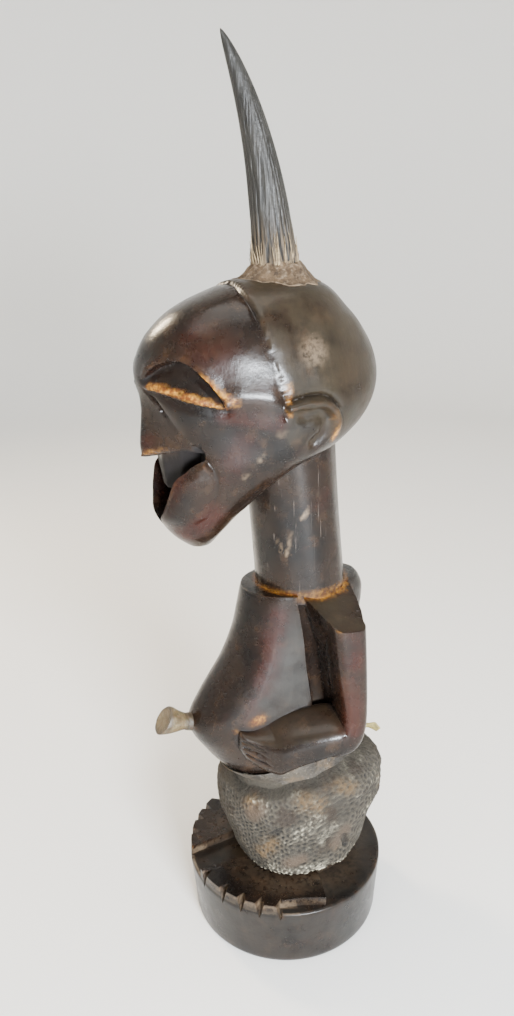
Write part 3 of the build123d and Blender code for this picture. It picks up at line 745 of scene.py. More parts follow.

# Where hands, tools and dust have changed the wood, and small painted glints on the cheek: (strength, reach, line), on
# both sides
GOLD_WEAR = (
    (1.0, 1.8, ((12.9, -85.6, 393.4), (21.8, -80.1, 392.9), (28.1, -74, 391.0), (33.1, -67.6, 388.6), (37.2, -60.9, 386.2), (41.5, -52, 383.6))),
    (0.9, 1.6, ((36.2, -62.9, 399.8), (38.4, -59.2, 396.7), (40.4, -55.2, 392.8), (41.9, -51.7, 389.6), (44, -46, 385.9))),
    (0.75, 1.5, EAR_RIM[:6]),
    (0.9, 2.0, EAR_RIM[5:]),
    (0.35, 1.4, ((29, -1, 254), (54, 3.5, 244), (59.4, 12, 242.6))),
    (0.7, 1.6, ((20, -73.5, 338), (16.7, -75.5, 331), (12.5, -77.5, 320), (6, -78.5, 311))),
    (0.45, 1.7, ((3, -88, 353), (12, -82, 356), (22, -74, 359.2))),
    (0.55, 1.5, ((50.1, -17.6, 393), (49.9, -16.6, 378))),
    (0.35, 2.0, ((60.2, 30, 155), (61, 32, 168))),
    (0.9, 2.2, ((17.5, -43, 168), (22, -44, 166.4))),
    (0.7, 2.5, ((36, -20, 178), (28, -30, 173), (20, -40, 168.5))),
    )
RED_WEAR = (
    (0.75, 9.0, ((26.5, -31, 172), (26, -24, 197), (24.5, -17, 226), (24, -14, 240))),
    (0.85, 9.0, ((60.5, 20, 232), (61, 19, 200), (61, 20, 171))),
    (0.8, 8.0, ((6, -74, 301), (18, -66, 305), (27, -55, 318))),
    (0.7, 4.5, ((23, -72, 344), (18, -74, 332), (13, -76, 320))),
    (0.75, 5.0, ((41, -52, 379), (45, -42, 377), (49, -22, 374))),
    (0.5, 13.0, ((38, -52, 408), (31, -64, 421))),
    (0.6, 5.0, ((0, -87.5, 358), (8, -86, 361))),
    (0.5, 8.0, ((40, -40, 362), (36, -50, 345))),
)
CUT_MARKS_AND_GLINTS = (
    (1.0, 1.0, ((25.6, -5.0, 297.5), (23.6, -6.9, 283.0))),
    (0.8, 0.8, ((20.1, -11.4, 291.4), (21.6, -9.0, 284.0))),
    (0.9, 1.3, ((29.3, 5.0, 311.8), (28.4, 1.4, 307.2))),
    (0.7, 0.7, ((26.8, -9.8, 341.0), (26.2, -8.8, 325.0))),
    (0.8, 0.7, ((23.0, -14.5, 336.0), (21.4, -13.6, 322.5))),
    (0.7, 0.6, ((29.8, 7.0, 325.2), (28.9, 14.0, 318.8))),
    (0.7, 0.6, ((29.3, 13.5, 324.1), (29.6, 10.6, 312.0))),
    (0.7, 0.6, ((28.5, 0.5, 331.0), (28.0, 1.8, 316.0))),
    # painted highlights: the last three marks are small glints on the cheek, painted pale
    (0.45, 1.5, ((43.6, -31, 354), (42.6, -32.5, 351.5))),
    (0.45, 1.4, ((38.4, -39, 343), (38.0, -40, 341))),
    (0.25, 2.0, ((48.6, -19, 366.5), (46.8, -22, 366.5))),
)


def stroked(side, strokes):
    """Mask of painted strokes, 0 to 1 a point."""
    mask = np.zeros(len(side))
    for strength, reach, line in strokes:
        mask = np.maximum(mask, strength * np.exp(-((near_line(side, line)[0] / reach) ** 3)))
    return mask


def attribute(piece, name, values):
    """Stores one number a vertex on a piece, for its material."""
    slot = piece.data.attributes.new(name, "FLOAT", "POINT")
    slot.data.foreach_set("value", np.clip(values, -1.0, 1.0).astype(np.float32))


def spots_of(piece):
    """Vertex places in millimetres, and vertex normals."""
    count = len(piece.data.vertices)
    places, normals = np.zeros(count * 3), np.zeros(count * 3)
    piece.data.vertices.foreach_get("co", places)
    piece.data.vertices.foreach_get("normal", normals)
    return places.reshape(-1, 3) / MM, normals.reshape(-1, 3)


def edge_turn(piece, rounds):
    """How far each vertex stands out of its surroundings: above 0 on ridges, below 0 in hollows."""
    places, normals = spots_of(piece)
    ends = np.zeros(len(piece.data.edges) * 2, dtype=int)
    piece.data.edges.foreach_get("vertices", ends)
    first, second = ends.reshape(-1, 2).T
    run = places[second] - places[first]
    length = np.maximum(np.linalg.norm(run, axis=1), 0.05)
    bend = ((normals[second] - normals[first]) * run).sum(axis=1) / length / np.maximum(length, 0.6)
    total, count = np.zeros(len(places)), np.zeros(len(places))
    for end in (first, second):
        np.add.at(total, end, bend)
        np.add.at(count, end, 1)
    level = total / np.maximum(count, 1)
    for step in range(rounds):
        spread, count = level.copy(), np.ones(len(places))
        for here, there in ((first, second), (second, first)):
            np.add.at(spread, here, level[there])
            np.add.at(count, here, 1)
        level = spread / count
    return level


places, normals = spots_of(figure)
both = places * (0, 1, 1) + np.abs(places) * (1, 0, 0)
x, y, z = both.T
far_side = np.where(places[:, 0] < 0, 0.7, 1.0)
neck_share = np.clip((z - NECK_FOOT[2]) / (NECK_TOP[2] - NECK_FOOT[2]), 0, 1)
neck_y = NECK_FOOT[1] + (NECK_TOP[1] - NECK_FOOT[1]) * neck_share
neck_gap = np.hypot(x, y - neck_y) - NECK_RADIUS
crust = np.exp(-(((neck_gap - 0.4) / 1.3) ** 2)) * np.where(normals[:, 2] > 0.3, 1.0, 0.5)
crust *= (z > 250) & (z < 258.5)
lap = np.interp(z, [p[2] for p in HAIR_LINE[::-1]], [p[1] for p in HAIR_LINE[::-1]])
cap = ease(y - lap, -0.5, 1.5) * ease(z, 352, 372) * (z > 340)
shoulder_top = (z > 236) & (z < 256) & (x > 30) & (normals[:, 2] > 0.6)
arm_top = (z > 156) & (z < 186) & (y < 18) & (x > 18) & (normals[:, 2] > 0.45)
ear_bowl = np.exp(-((near_line(both, EAR_HOLLOW)[0] / 5.0) ** 4))
# lightened grey on the trunk's flat side planes and everything below the feet: partly a matt film and dust, partly
# painted sheen of the pale floor
plane = ease(x, 25, 28) * (1 - ease(x, 33.5, 34.5)) * ease(z, 150, 158) * (1 - ease(z, 236, 252)) * ease(normals[:, 0] * np.sign(places[:, 0] + 1e-9), 0.75, 0.9)
# painted reflection: a pale round spot where the lamp's reflection lies on the worn dimple above the ear
mark = np.exp(-((np.linalg.norm(both - np.array([48.0, 0.0, 411.0]), axis=1) / 8.5) ** 4))
low_dust = ease(y, -62, -20) * (z > 43) * (z < 60) * (normals[:, 2] > 0.5) * (1 - ease(np.hypot(x, y), 50, 66))
# painted highlight: the upright walls of the feet above the drum are lightened as if lit
lit_ledge = (z > 43) & (z < 50.0) & (y > -68) & (normals[:, 2] < 0.5)
# painted highlight: the walls of the toe notches are lightened as if lit
notch = (z > 39) & (z < 50.4) & (np.hypot(x, y) > 58.0) & (np.hypot(x, y) < 69.3) & (y < -20) & (normals[:, 2] < 0.9)
attribute(figure, "gold", np.maximum(stroked(both, GOLD_WEAR) * np.where(places[:, 0] < 0, 0.35, 1.0) * ((places[:, 0] > 0) | (z > 352)), crust * 0.5))
attribute(figure, "red", stroked(both, RED_WEAR) * far_side)
attribute(figure, "dull", np.clip(np.maximum.reduce([cap * 0.85, shoulder_top * 0.9, arm_top * 0.4, ear_bowl]), 0, 1))
# pale: real dust and cut marks, together with painted highlights on the dimple, the foot walls, the toe notches and the
# cheek
attribute(figure, "pale", np.clip(np.maximum.reduce([mark * 0.45, low_dust * 0.14, lit_ledge * 0.14, notch * 0.45, stroked(both, CUT_MARKS_AND_GLINTS) * far_side]), 0, 1))
attribute(figure, "film_and_sheen", np.clip(np.maximum(plane, 0.55 * (z < 45)), 0, 1))
attribute(figure, "neck", ((neck_gap < 1.2) & (z > 257) & (z < 360)).astype(float))
attribute(figure, "ridge", edge_turn(figure, 3) * 2.2)
lip_x = np.interp(z, [p[2] for p in NEAR_LIP[::-1]], [p[0] for p in NEAR_LIP[::-1]])
# painted shade: the inside of the open mouth and the sunken eye under the upper lid are marked deep, to be painted near
# black
deep = (x < lip_x - 0.5) & (z > 310.0) & (z < 350.8 + 0.36 * x - 0.8) & (y < -48) & (y > -100)
attribute(figure, "deep", np.maximum(deep * 0.85, np.exp(-((near_line(both, UPPER_LID)[0] / 3.2) ** 2)) * (both[:, 2] < along_face(UPPER_LID, face_angle(x, y)) - 0.6) * (z > 380)))


def put(tree, kind, inputs=None, **settings):
    """Adds a node; inputs are numbers, nodes (their first output) or sockets."""
    node = tree.nodes.new("ShaderNode" + kind)
    for name, value in settings.items():
        setattr(node, name, value)
    for socket, value in (inputs or {}).items():
        source = value.outputs[0] if isinstance(value, bpy.types.Node) else value
        if isinstance(source, bpy.types.NodeSocket):
            tree.links.new(source, node.inputs[socket])
        else:
            node.inputs[socket].default_value = source
    return node


def group(name, inputs, outputs):
    """Empty node group with float, colour or vector sockets; gives the group and its two end nodes."""
    tree = bpy.data.node_groups.new(name, "ShaderNodeTree")
    kinds = {float: "NodeSocketFloat", tuple: "NodeSocketColor"}
    for label, value in inputs:
        socket = tree.interface.new_socket(label, in_out="INPUT", socket_type=kinds[type(value)])
        socket.default_value = value
    for label, value in outputs:
        tree.interface.new_socket(label, in_out="OUTPUT", socket_type=kinds[type(value)])
    return tree, tree.nodes.new("NodeGroupInput"), tree.nodes.new("NodeGroupOutput")


# Blotches that come and go over the surface, as wear, grease and dust do
blotches, wanted, given = group("blotches", (("Scale", 30.0), ("Low", 0.4), ("High", 0.6), ("Seed", 0.0)), (("Mask", 0.0),))
coords = put(blotches, "TexCoord")
noise_4d = put(blotches, "TexNoise", {"Vector": coords.outputs["Object"], "W": wanted.outputs["Seed"], "Scale": wanted.outputs["Scale"], "Detail": 5.0, "Roughness": 0.62}, noise_dimensions="4D")
band = put(blotches, "MapRange", {0: noise_4d, 1: wanted.outputs["Low"], 2: wanted.outputs["High"]}, interpolation_type="SMOOTHSTEP")
blotches.links.new(band.outputs[0], given.inputs["Mask"])

# Fibres and fine scratches that run up the piece
fibres, wanted, given = group("fibres", (("Across", 400.0), ("Along", 20.0), ("Low", 0.4), ("High", 0.6)), (("Mask", 0.0),))
coords = put(fibres, "TexCoord")
stretch = put(fibres, "CombineXYZ", {0: wanted.outputs["Across"], 1: wanted.outputs["Across"], 2: wanted.outputs["Along"]})
place = put(fibres, "VectorMath", {0: coords.outputs["Object"], 1: stretch}, operation="MULTIPLY")
lines = put(fibres, "TexNoise", {"Vector": place, "Scale": 1.0, "Detail": 3.0, "Roughness": 0.6})
band = put(fibres, "MapRange", {0: lines, 1: wanted.outputs["Low"], 2: wanted.outputs["High"]}, interpolation_type="SMOOTHSTEP")
fibres.links.new(band.outputs[0], given.inputs["Mask"])


def shaded(name):
    """New material; gives it, its node tree and its shader."""
    paint = bpy.data.materials.new(name)
    paint.use_nodes = True
    return paint, paint.node_tree, paint.node_tree.nodes["Principled BSDF"]


def blotch(tree, scale, low, high, seed=0.0):
    """Places the blotches group in a material."""
    return put(tree, "Group", {"Scale": scale, "Low": low, "High": high, "Seed": seed}, node_tree=blotches)


def fibre(tree, across, along, low, high):
    """Places the fibres group in a material."""
    return put(tree, "Group", {"Across": across, "Along": along, "Low": low, "High": high}, node_tree=fibres)


def times(tree, *factors):
    """Product of masks and numbers."""
    result = factors[0]
    for factor in factors[1:]:
        result = put(tree, "Math", {0: result, 1: factor}, operation="MULTIPLY", use_clamp=True)
    return result


def sum_of(tree, *terms):
    """Sum of masks and numbers."""
    result = terms[0]
    for term in terms[1:]:
        result = put(tree, "Math", {0: result, 1: term}, operation="ADD")
    return result


def over(tree, colour, coat, mask):
    """Lays a colour over another where the mask is high."""
    mix = put(tree, "Mix", {"Factor": mask}, data_type="RGBA")
    for socket, value in ((mix.inputs[6], colour), (mix.inputs[7], coat)):
        source = value.outputs[2] if isinstance(value, bpy.types.Node) else value
        if isinstance(source, bpy.types.NodeSocket):
            tree.links.new(source, socket)
        else:
            socket.default_value = (*source, 1.0)
    return mix


def worn_by(tree, name):
    """Reads a number that was stored on the piece."""
    return put(tree, "Attribute", attribute_name=name).outputs["Fac"]


BARE_WOOD, DARK_WOOD, RED_WOOD = (0.012, 0.0064, 0.0038), (0.0030, 0.0022, 0.0020), (0.034, 0.0065, 0.0035)
OLIVE_FILM, GREY_FILM_AND_SHEEN, GOLD_LOW, GOLD_HIGH = (0.032, 0.024, 0.013), (0.024, 0.022, 0.019), (0.12, 0.034, 0.005), (0.46, 0.21, 0.026)
PALE_DUST_AND_GLINT, EDGE_WOOD = (0.20, 0.14, 0.088), (0.065, 0.028, 0.010)
wood, tree, shader = shaded("oiled_dark_wood")
grain = fibre(tree, 520.0, 26.0, 0.38, 0.62)
colour = over(tree, DARK_WOOD, BARE_WOOD, blotch(tree, 26.0, 0.36, 0.66))
colour = over(tree, colour, (0.034, 0.018, 0.009), times(tree, blotch(tree, 95.0, 0.50, 0.72, 2.0), 0.5))
colour = over(tree, colour, RED_WOOD, times(tree, worn_by(tree, "red"), blotch(tree, 60.0, 0.30, 0.62, 4.0), 0.65))
colour = over(tree, colour, RED_WOOD, times(tree, blotch(tree, 17.0, 0.58, 0.72, 9.0), 0.2))
film = times(tree, worn_by(tree, "dull"), blotch(tree, 48.0, 0.28, 0.60, 6.0))
colour = over(tree, colour, OLIVE_FILM, times(tree, film, 0.55))
# partly grey matt film and dust, partly painted sheen on the trunk's side planes and the base
film_and_sheen = times(tree, worn_by(tree, "film_and_sheen"), blotch(tree, 70.0, 0.25, 0.65, 3.0))
colour = over(tree, colour, GREY_FILM_AND_SHEEN, times(tree, film_and_sheen, 0.7))
colour = over(tree, colour, DARK_WOOD, times(tree, grain, 0.14))
ridge = put(tree, "MapRange", {0: worn_by(tree, "ridge"), 1: 0.16, 2: 0.7})
colour = over(tree, colour, EDGE_WOOD, times(tree, ridge, blotch(tree, 140.0, 0.42, 0.66, 8.0), 0.6))
# painted shade: concave places such as grooves, creases and the corners between parts are darkened towards near black
hollow = put(tree, "MapRange", {0: worn_by(tree, "ridge"), 1: -0.12, 2: -0.5})
colour = over(tree, colour, (0.006, 0.0045, 0.004), times(tree, hollow, 0.8))
gold = times(tree, worn_by(tree, "gold"), blotch(tree, 260.0, 0.22, 0.52, 5.0))
colour = over(tree, colour, over(tree, GOLD_LOW, GOLD_HIGH, blotch(tree, 420.0, 0.40, 0.64, 7.0)), gold)
# pale is real dust and cut marks, and painted highlights as well: the lamp's reflection above the ear, lit foot walls,
# lit notch facets and glints on the cheek
pale = times(tree, worn_by(tree, "pale"), blotch(tree, 330.0, 0.30, 0.60, 1.0))
colour = over(tree, colour, PALE_DUST_AND_GLINT, times(tree, pale, 0.85))
specks = times(tree, blotch(tree, 620.0, 0.66, 0.74, 11.0), 0.35)
colour = over(tree, colour, PALE_DUST_AND_GLINT, times(tree, specks, sum_of(tree, worn_by(tree, "dull"), 0.12)))
scratch = times(tree, fibre(tree, 900.0, 16.0, 0.66, 0.74), worn_by(tree, "neck"))
colour = over(tree, colour, (0.16, 0.13, 0.11), times(tree, scratch, 0.5))
# painted shade: the mouth's inside and the eye under the upper lid go near black
colour = over(tree, colour, (0.004, 0.003, 0.003), worn_by(tree, "deep"))
tree.links.new(colour.outputs[2], shader.inputs["Base Color"])
rough = sum_of(tree, 0.22, times(tree, blotch(tree, 120.0, 0.3, 0.8, 12.0), 0.12), times(tree, film, 0.16), times(tree, film_and_sheen, 0.14))
rough = sum_of(tree, rough, times(tree, pale, 0.35), times(tree, gold, 0.10), times(tree, worn_by(tree, "deep"), 0.65))
tree.links.new(rough.outputs[0], shader.inputs["Roughness"])
shader.inputs["Coat Weight"].default_value = 0.06
shader.inputs["Coat Roughness"].default_value = 0.12
shader.inputs["Specular IOR Level"].default_value = 0.21
height = sum_of(tree, times(tree, grain, 0.08), times(tree, blotch(tree, 90.0, 0.2, 0.8, 14.0), 0.9), times(tree, scratch, -0.4))
height = sum_of(tree, height, times(tree, blotch(tree, 700.0, 0.3, 0.7, 15.0), 0.12), times(tree, gold, blotch(tree, 900.0, 0.4, 0.6, 16.0), 0.5))
bump = put(tree, "Bump", {"Strength": 0.22, "Distance": 0.0006, "Height": height})
tree.links.new(bump.outputs[0], shader.inputs["Normal"])
figure.data.materials.append(wood)
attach(figure, "figure")
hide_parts("carved_figure")


# ------------------------------------------------------------------ Earthy packing
# Earth, ash and plant matter pressed into the crown's and the belly's cavities and into the horn.
# It is out of sight in use, so the three plugs keep their plain turned shapes.
packing, tree, shader = shaded("earthy_packing")
colour = over(tree, (0.030, 0.021, 0.014), (0.11, 0.078, 0.048), blotch(tree, 240.0, 0.40, 0.62))
colour = over(tree, colour, (0.26, 0.21, 0.14), times(tree, blotch(tree, 900.0, 0.60, 0.70, 3.0), 0.7))
tree.links.new(colour.outputs[2], shader.inputs["Base Color"])
shader.inputs["Roughness"].default_value = 0.95
bump = put(tree, "Bump", {"Strength": 0.8, "Distance": 0.0012, "Height": blotch(tree, 420.0, 0.2, 0.8, 5.0)})
tree.links.new(bump.outputs[0], shader.inputs["Normal"])
for node in ("crown_charge", "belly_charge", "horn_packing"):
    plug = frame["nodes"][node]
    plug.data.materials.clear()
    plug.data.materials.append(packing)


# ------------------------------------------------------------------ Horn
# One antelope horn, hollow for the lower two thirds, standing in the crown with its tip forward.
# Its foot is ridged, split and frayed; the upper half is scraped smooth.
HORN_FOOT_Z, HORN_LENGTH, HORN_RADIUS, HORN_TAPER = 442.0, 132.0, 14.4, 0.6
HORN_LEAN, HORN_CURL, HORN_WALL, HORN_HOLLOW = 12.0, 19.0, 3.0, 0.62


def horn_radius(share):
    """Radius of the horn at a share of its length, with a blunt tip."""
    return HORN_RADIUS * np.maximum(1 - share, 0.0) ** HORN_TAPER


def horn_spot(turn, share, radius):
    """Place on a ring round the horn's bent middle line."""
    angle = 2 * np.pi * turn
    lean = -HORN_LEAN * share - HORN_CURL * share**3
    slope = (HORN_LEAN + 3 * HORN_CURL * share**2) / HORN_LENGTH
    y = lean - radius * np.cos(angle)
    height = HORN_FOOT_Z + HORN_LENGTH * share - radius * np.cos(angle) * slope * ease(share, 0.0, 0.1)
    return np.stack([radius * np.sin(angle), y, height], axis=1)


def horn_place(turn, rise):
    """Inner wall from its top down to the foot, then the outer wall up to the tip."""
    inner = rise < 0.16
    share = np.where(inner, HORN_HOLLOW * (1 - rise / 0.16), np.clip((rise - 0.16) / 0.84, 0, 1) ** 0.93)
    bore = np.maximum(horn_radius(share) - HORN_WALL, 0.0) * np.minimum(1.0, (HORN_HOLLOW - share) / 0.02)
    angle = 2 * np.pi * turn
    rough_foot = (1 - ease(share, 0.05, 0.42)) ** 1.4
    ring = np.stack([np.cos(angle), np.sin(angle), share * 1.6], axis=1)
    ridges = roughen(ring * 10.0, 1.15, 1.0, 5) + 0.6 * roughen(ring * 10.0, 0.5, 1.0, 7)
    splits = np.minimum(0.0, roughen(ring * (10, 10, 4.5), 1.9, 1.0, 9) + 0.12)
    outer = horn_radius(share) + rough_foot * (0.85 * ridges + 3.2 * splits) - 0.20 * (1 - rough_foot)
    outer += (1 - ease(share, 0.3, 0.9)) * 0.18 * np.sin(23 * angle + 4 * np.sin(3 * angle))
    outer = np.where(rise > 0.999, 0.0, np.maximum(outer, 0.05))
    outer = np.where(rise <= 0.19, np.minimum(outer, 14.0), outer)
    return horn_spot(turn, share, np.where(inner, bore, outer))


horn = as_piece("horn", rolled(168, 190, horn_place))
places, normals = spots_of(horn)
rise_share = (places[:, 2] - HORN_FOOT_Z) / HORN_LENGTH
attribute(horn, "foot", 1 - ease(rise_share, 0.06, 0.34))
attribute(horn, "tip", ease(rise_share, 0.35, 0.95))
attribute(horn, "ridge", edge_turn(horn, 1) * 3.0)
strands = bmesh.new()
straw_picks = random.Random(11)
for index in range(90):
    turn, low = straw_picks.random(), straw_picks.uniform(0.04, 0.12)
    high, thick = low + straw_picks.uniform(0.03, 0.13), straw_picks.uniform(0.25, 0.55)
    made = bmesh.ops.create_cone(strands, cap_ends=True, segments=5, radius1=thick * MM, radius2=0.1 * MM, depth=1.0)
    ends = [vert for vert in made["verts"]]
    shift, lift = straw_picks.uniform(-0.015, 0.015), straw_picks.uniform(0.3, 1.6)
    for vert in ends:
        top = vert.co.z > 0
        share = np.array([high if top else low])
        radius = horn_radius(share) + (lift if top else 0.1)
        spot = horn_spot(np.array([turn + (shift if top else 0.0)]), share, radius)[0]
        vert.co = Vector(spot) * MM + Vector((vert.co.x, vert.co.y, 0.0))
bmesh.ops.recalc_face_normals(strands, faces=strands.faces)
straw = as_piece("horn_frayed_fibres", strands)
straw_paint, tree, shader = shaded("frayed_fibre")
colour = over(tree, (0.11, 0.0715, 0.0358), (0.275, 0.204, 0.11), blotch(tree, 300.0, 0.35, 0.65))
tree.links.new(colour.outputs[2], shader.inputs["Base Color"])
shader.inputs["Roughness"].default_value = 0.8
straw.data.materials.append(straw_paint)

horn_paint, tree, shader = shaded("dark_horn")
colour = over(tree, (0.0077, 0.00715, 0.0066), (0.0231, 0.0215, 0.0187), blotch(tree, 55.0, 0.35, 0.65, 1.0))
streak = fibre(tree, 420.0, 16.0, 0.42, 0.60)
colour = over(tree, colour, (0.0413, 0.0374, 0.0319), times(tree, streak, 0.22))
colour = over(tree, colour, (0.0077, 0.00715, 0.0066), times(tree, worn_by(tree, "tip"), 0.55))
bark = times(tree, worn_by(tree, "foot"), fibre(tree, 330.0, 34.0, 0.36, 0.58))
colour = over(tree, colour, (0.0825, 0.055, 0.0303), times(tree, bark, 0.6))
ridge = put(tree, "MapRange", {0: worn_by(tree, "ridge"), 1: 0.05, 2: 0.5})
colour = over(tree, colour, (0.149, 0.105, 0.0605), times(tree, ridge, worn_by(tree, "foot"), 0.6))
# painted shade: the horn's grooves and splits are darkened towards near black
hollow = put(tree, "MapRange", {0: worn_by(tree, "ridge"), 1: -0.05, 2: -0.4})
colour = over(tree, colour, (0.0055, 0.0044, 0.0033), times(tree, hollow, 0.9))
tree.links.new(colour.outputs[2], shader.inputs["Base Color"])
rough = sum_of(tree, 0.40, times(tree, worn_by(tree, "foot"), 0.35), times(tree, streak, 0.10))
tree.links.new(rough.outputs[0], shader.inputs["Roughness"])
height = sum_of(tree, times(tree, streak, 0.5), times(tree, bark, 0.8), times(tree, blotch(tree, 500.0, 0.3, 0.7), 0.2))
bump = put(tree, "Bump", {"Strength": 0.6, "Distance": 0.0008, "Height": height})
tree.links.new(bump.outputs[0], shader.inputs["Normal"])
shader.inputs["Specular IOR Level"].default_value = 0.3
horn.data.materials.append(horn_paint)
for polygon in horn.data.polygons:
    polygon.use_smooth = True
for piece in (horn, straw):
    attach(piece, "figure")
    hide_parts("horn_sheath")


# ------------------------------------------------------------------ Resin collar
# Brown resin and earth pressed round the horn's foot, smeared thinly out over the crown.
COLLAR_REACH, COLLAR_RISE = 25.0, 7.6
crown = BVHTree.FromObject(figure, bpy.context.evaluated_depsgraph_get())


def crown_height(x, y):
    """Height of the crown under a place, in millimetres."""
    hit = crown.ray_cast(Vector((x * MM, y * MM, 0.6)), Vector((0, 0, -1)))[0]
    return hit.z / MM if hit and hit.z > 0.40 else 430.0


def collar_place(turn, rise):
    """Ring that starts inside, runs out under the crown's skin, and comes back over the lumpy mound."""
    angle = 2 * np.pi * turn
    ring = np.stack([np.cos(angle), np.sin(angle), 0 * angle], axis=1)
    reach = COLLAR_REACH + roughen(ring * 10, 4.0, 3.2, 21) + roughen(ring * 10, 1.4, 1.3, 22)
    under = rise < 0.12
    part = np.where(under, rise / 0.12, (rise - 0.12) / 0.88)
    inner = 13.2
    radius = np.where(under, inner + (reach - inner) * part, reach - (reach - inner) * np.minimum(part * 1.12, 1.0))
    x, y = radius * np.sin(angle), -radius * np.cos(angle)
    ground = np.array([crown_height(px, py) if hypot > CROWN_BORE + 1 else 447.0 for px, py, hypot in zip(x, y, radius)])
    slope = 1 - ease(radius, inner, reach)
    lump = roughen(np.stack([x, y, ground], axis=1), 5.0, 1.0, 23) + 0.7 * roughen(np.stack([x, y, ground], axis=1), 2.0, 1.0, 24)
    top = ground + COLLAR_RISE * slope**1.7 + 0.35 + lump * (0.35 + 0.8 * slope)
    down = ease(part, 0.93, 1.0) * 9.0
    height = np.where(under, ground - 1.6, np.maximum(top, ground + 0.05) - down)
    return np.stack([x, y, height], axis=1)


def looped(around, along, place):
    """Like rolled, for a cross-section that comes back to where it started."""
    shell = bmesh.new()
    bmesh.ops.create_grid(shell, x_segments=around, y_segments=along, size=0.5)
    flat = np.array([vert.co[:2] for vert in shell.verts]) + 0.5
    flat[:, 1] = np.where(flat[:, 1] > 0.9999, 0.0, flat[:, 1])
    for vert, spot in zip(shell.verts, place(flat[:, 0], flat[:, 1])):
        vert.co = spot * MM
    bmesh.ops.remove_doubles(shell, verts=shell.verts, dist=2e-6)
    bmesh.ops.recalc_face_normals(shell, faces=shell.faces)
    return shell


collar = as_piece("resin_mound", looped(144, 60, collar_place))
attribute(collar, "ridge", edge_turn(collar, 1) * 3.0)
resin, tree, shader = shaded("earthy_resin")
colour = over(tree, (0.034, 0.020, 0.010), (0.095, 0.060, 0.032), blotch(tree, 130.0, 0.36, 0.64))
colour = over(tree, colour, (0.24, 0.18, 0.12), times(tree, blotch(tree, 320.0, 0.52, 0.70, 3.0), 0.7))
ridge = put(tree, "MapRange", {0: worn_by(tree, "ridge"), 1: 0.05, 2: 0.5})
colour = over(tree, colour, (0.24, 0.18, 0.12), times(tree, ridge, 0.35))
colour = over(tree, colour, (0.030, 0.020, 0.013), times(tree, blotch(tree, 210.0, 0.56, 0.68, 6.0), 0.85))
tree.links.new(colour.outputs[2], shader.inputs["Base Color"])
shader.inputs["Roughness"].default_value = 0.82
shader.inputs["Specular IOR Level"].default_value = 0.3
bump = put(tree, "Bump", {"Strength": 0.7, "Distance": 0.0012, "Height": blotch(tree, 520.0, 0.25, 0.75, 5.0)})
tree.links.new(bump.outputs[0], shader.inputs["Normal"])
collar.data.materials.append(resin)
for polygon in collar.data.polygons:
    polygon.use_smooth = True
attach(collar, "figure")
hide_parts("resin_collar")


# ------------------------------------------------------------------ Belly stopper
# Turned from a piece of horn: a straight shank in the belly's bore and a flared head outside it,
# whose end was sawn off at a slant.
STOPPER_PROFILE = ((-20.0, 0.0), (-20.0, 5.3), (-17.0, 5.92), (1.0, 5.92), (3.0, 5.5), (6.0, 5.9), (10.0, 7.2), (14.0, 8.5), (17.4, 9.2), (18.8, 9.1), (19.4, 8.4), (18.6, 5.5), (18.2, 0.0))
STOPPER_SAW = 0.30


def stopper_place(turn, rise):
    """Lathe rings on the belly's bore line, slanted towards the end."""
    length, radius = smooth_rows(STOPPER_PROFILE, rise).T
    radius = np.where((rise < 0.001) | (rise > 0.999), 0.0, np.maximum(radius, 0.0))
    angle = 2 * np.pi * turn
    hand_cut = 1 + 0.030 * np.sin(2 * angle + 0.6) * ease(length, 1, 6) + 0.012 * np.sin(9 * angle) * ease(length, 1, 6)
    across = radius * hand_cut
    length = length - STOPPER_SAW * np.cos(angle) * across * ease(length, 8.0, 19.0)
    up = np.array([0, math.sin(STOPPER_RISE), math.cos(STOPPER_RISE)])
    way, side = np.array(STOPPER_WAY), np.array([1.0, 0, 0])
    return np.array(BELLY_FRONT) + length[:, None] * way + across[:, None] * (np.sin(angle)[:, None] * side + np.cos(angle)[:, None] * up)


stopper = as_piece("stopper_turned", rolled(96, 110, stopper_place))
places, normals = spots_of(stopper)
out = (places - np.array(BELLY_FRONT)) @ np.array(STOPPER_WAY)
wide = np.linalg.norm(places - np.array(BELLY_FRONT) - out[:, None] * np.array(STOPPER_WAY), axis=1)
attribute(stopper, "rim", ease(wide, 7.0, 8.2) * ease(out, 14.5, 17.0))
attribute(stopper, "root", 1 - ease(out, 2.5, 8.0))
stopper_paint, tree, shader = shaded("yellowed_horn")
colour = over(tree, (0.0525, 0.0345, 0.0135), (0.128, 0.09, 0.0413), blotch(tree, 120.0, 0.35, 0.65))
colour = over(tree, colour, (0.18, 0.143, 0.0825), times(tree, fibre(tree, 500.0, 160.0, 0.50, 0.66), 0.5))
# painted shade: the stopper is darkened next to the belly, where it goes into it
colour = over(tree, colour, (0.0225, 0.015, 0.009), times(tree, worn_by(tree, "root"), 0.85))
colour = over(tree, colour, (0.0375, 0.0255, 0.015), times(tree, worn_by(tree, "rim"), blotch(tree, 220.0, 0.25, 0.55, 4.0), 0.8))
tree.links.new(colour.outputs[2], shader.inputs["Base Color"])
rough = sum_of(tree, 0.38, times(tree, blotch(tree, 300.0, 0.3, 0.7, 5.0), 0.25))
tree.links.new(rough.outputs[0], shader.inputs["Roughness"])
shader.inputs["Subsurface Weight"].default_value = 0.15
shader.inputs["Subsurface Scale"].default_value = 0.003
bump = put(tree, "Bump", {"Strength": 0.4, "Distance": 0.0005, "Height": blotch(tree, 600.0, 0.3, 0.7, 6.0)})
tree.links.new(bump.outputs[0], shader.inputs["Normal"])
stopper.data.materials.append(stopper_paint)
for polygon in stopper.data.polygons:
    polygon.use_smooth = True
stopper.data.set_sharp_from_angle(angle=math.radians(45))
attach(stopper, "stopper")
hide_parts("belly_stopper")


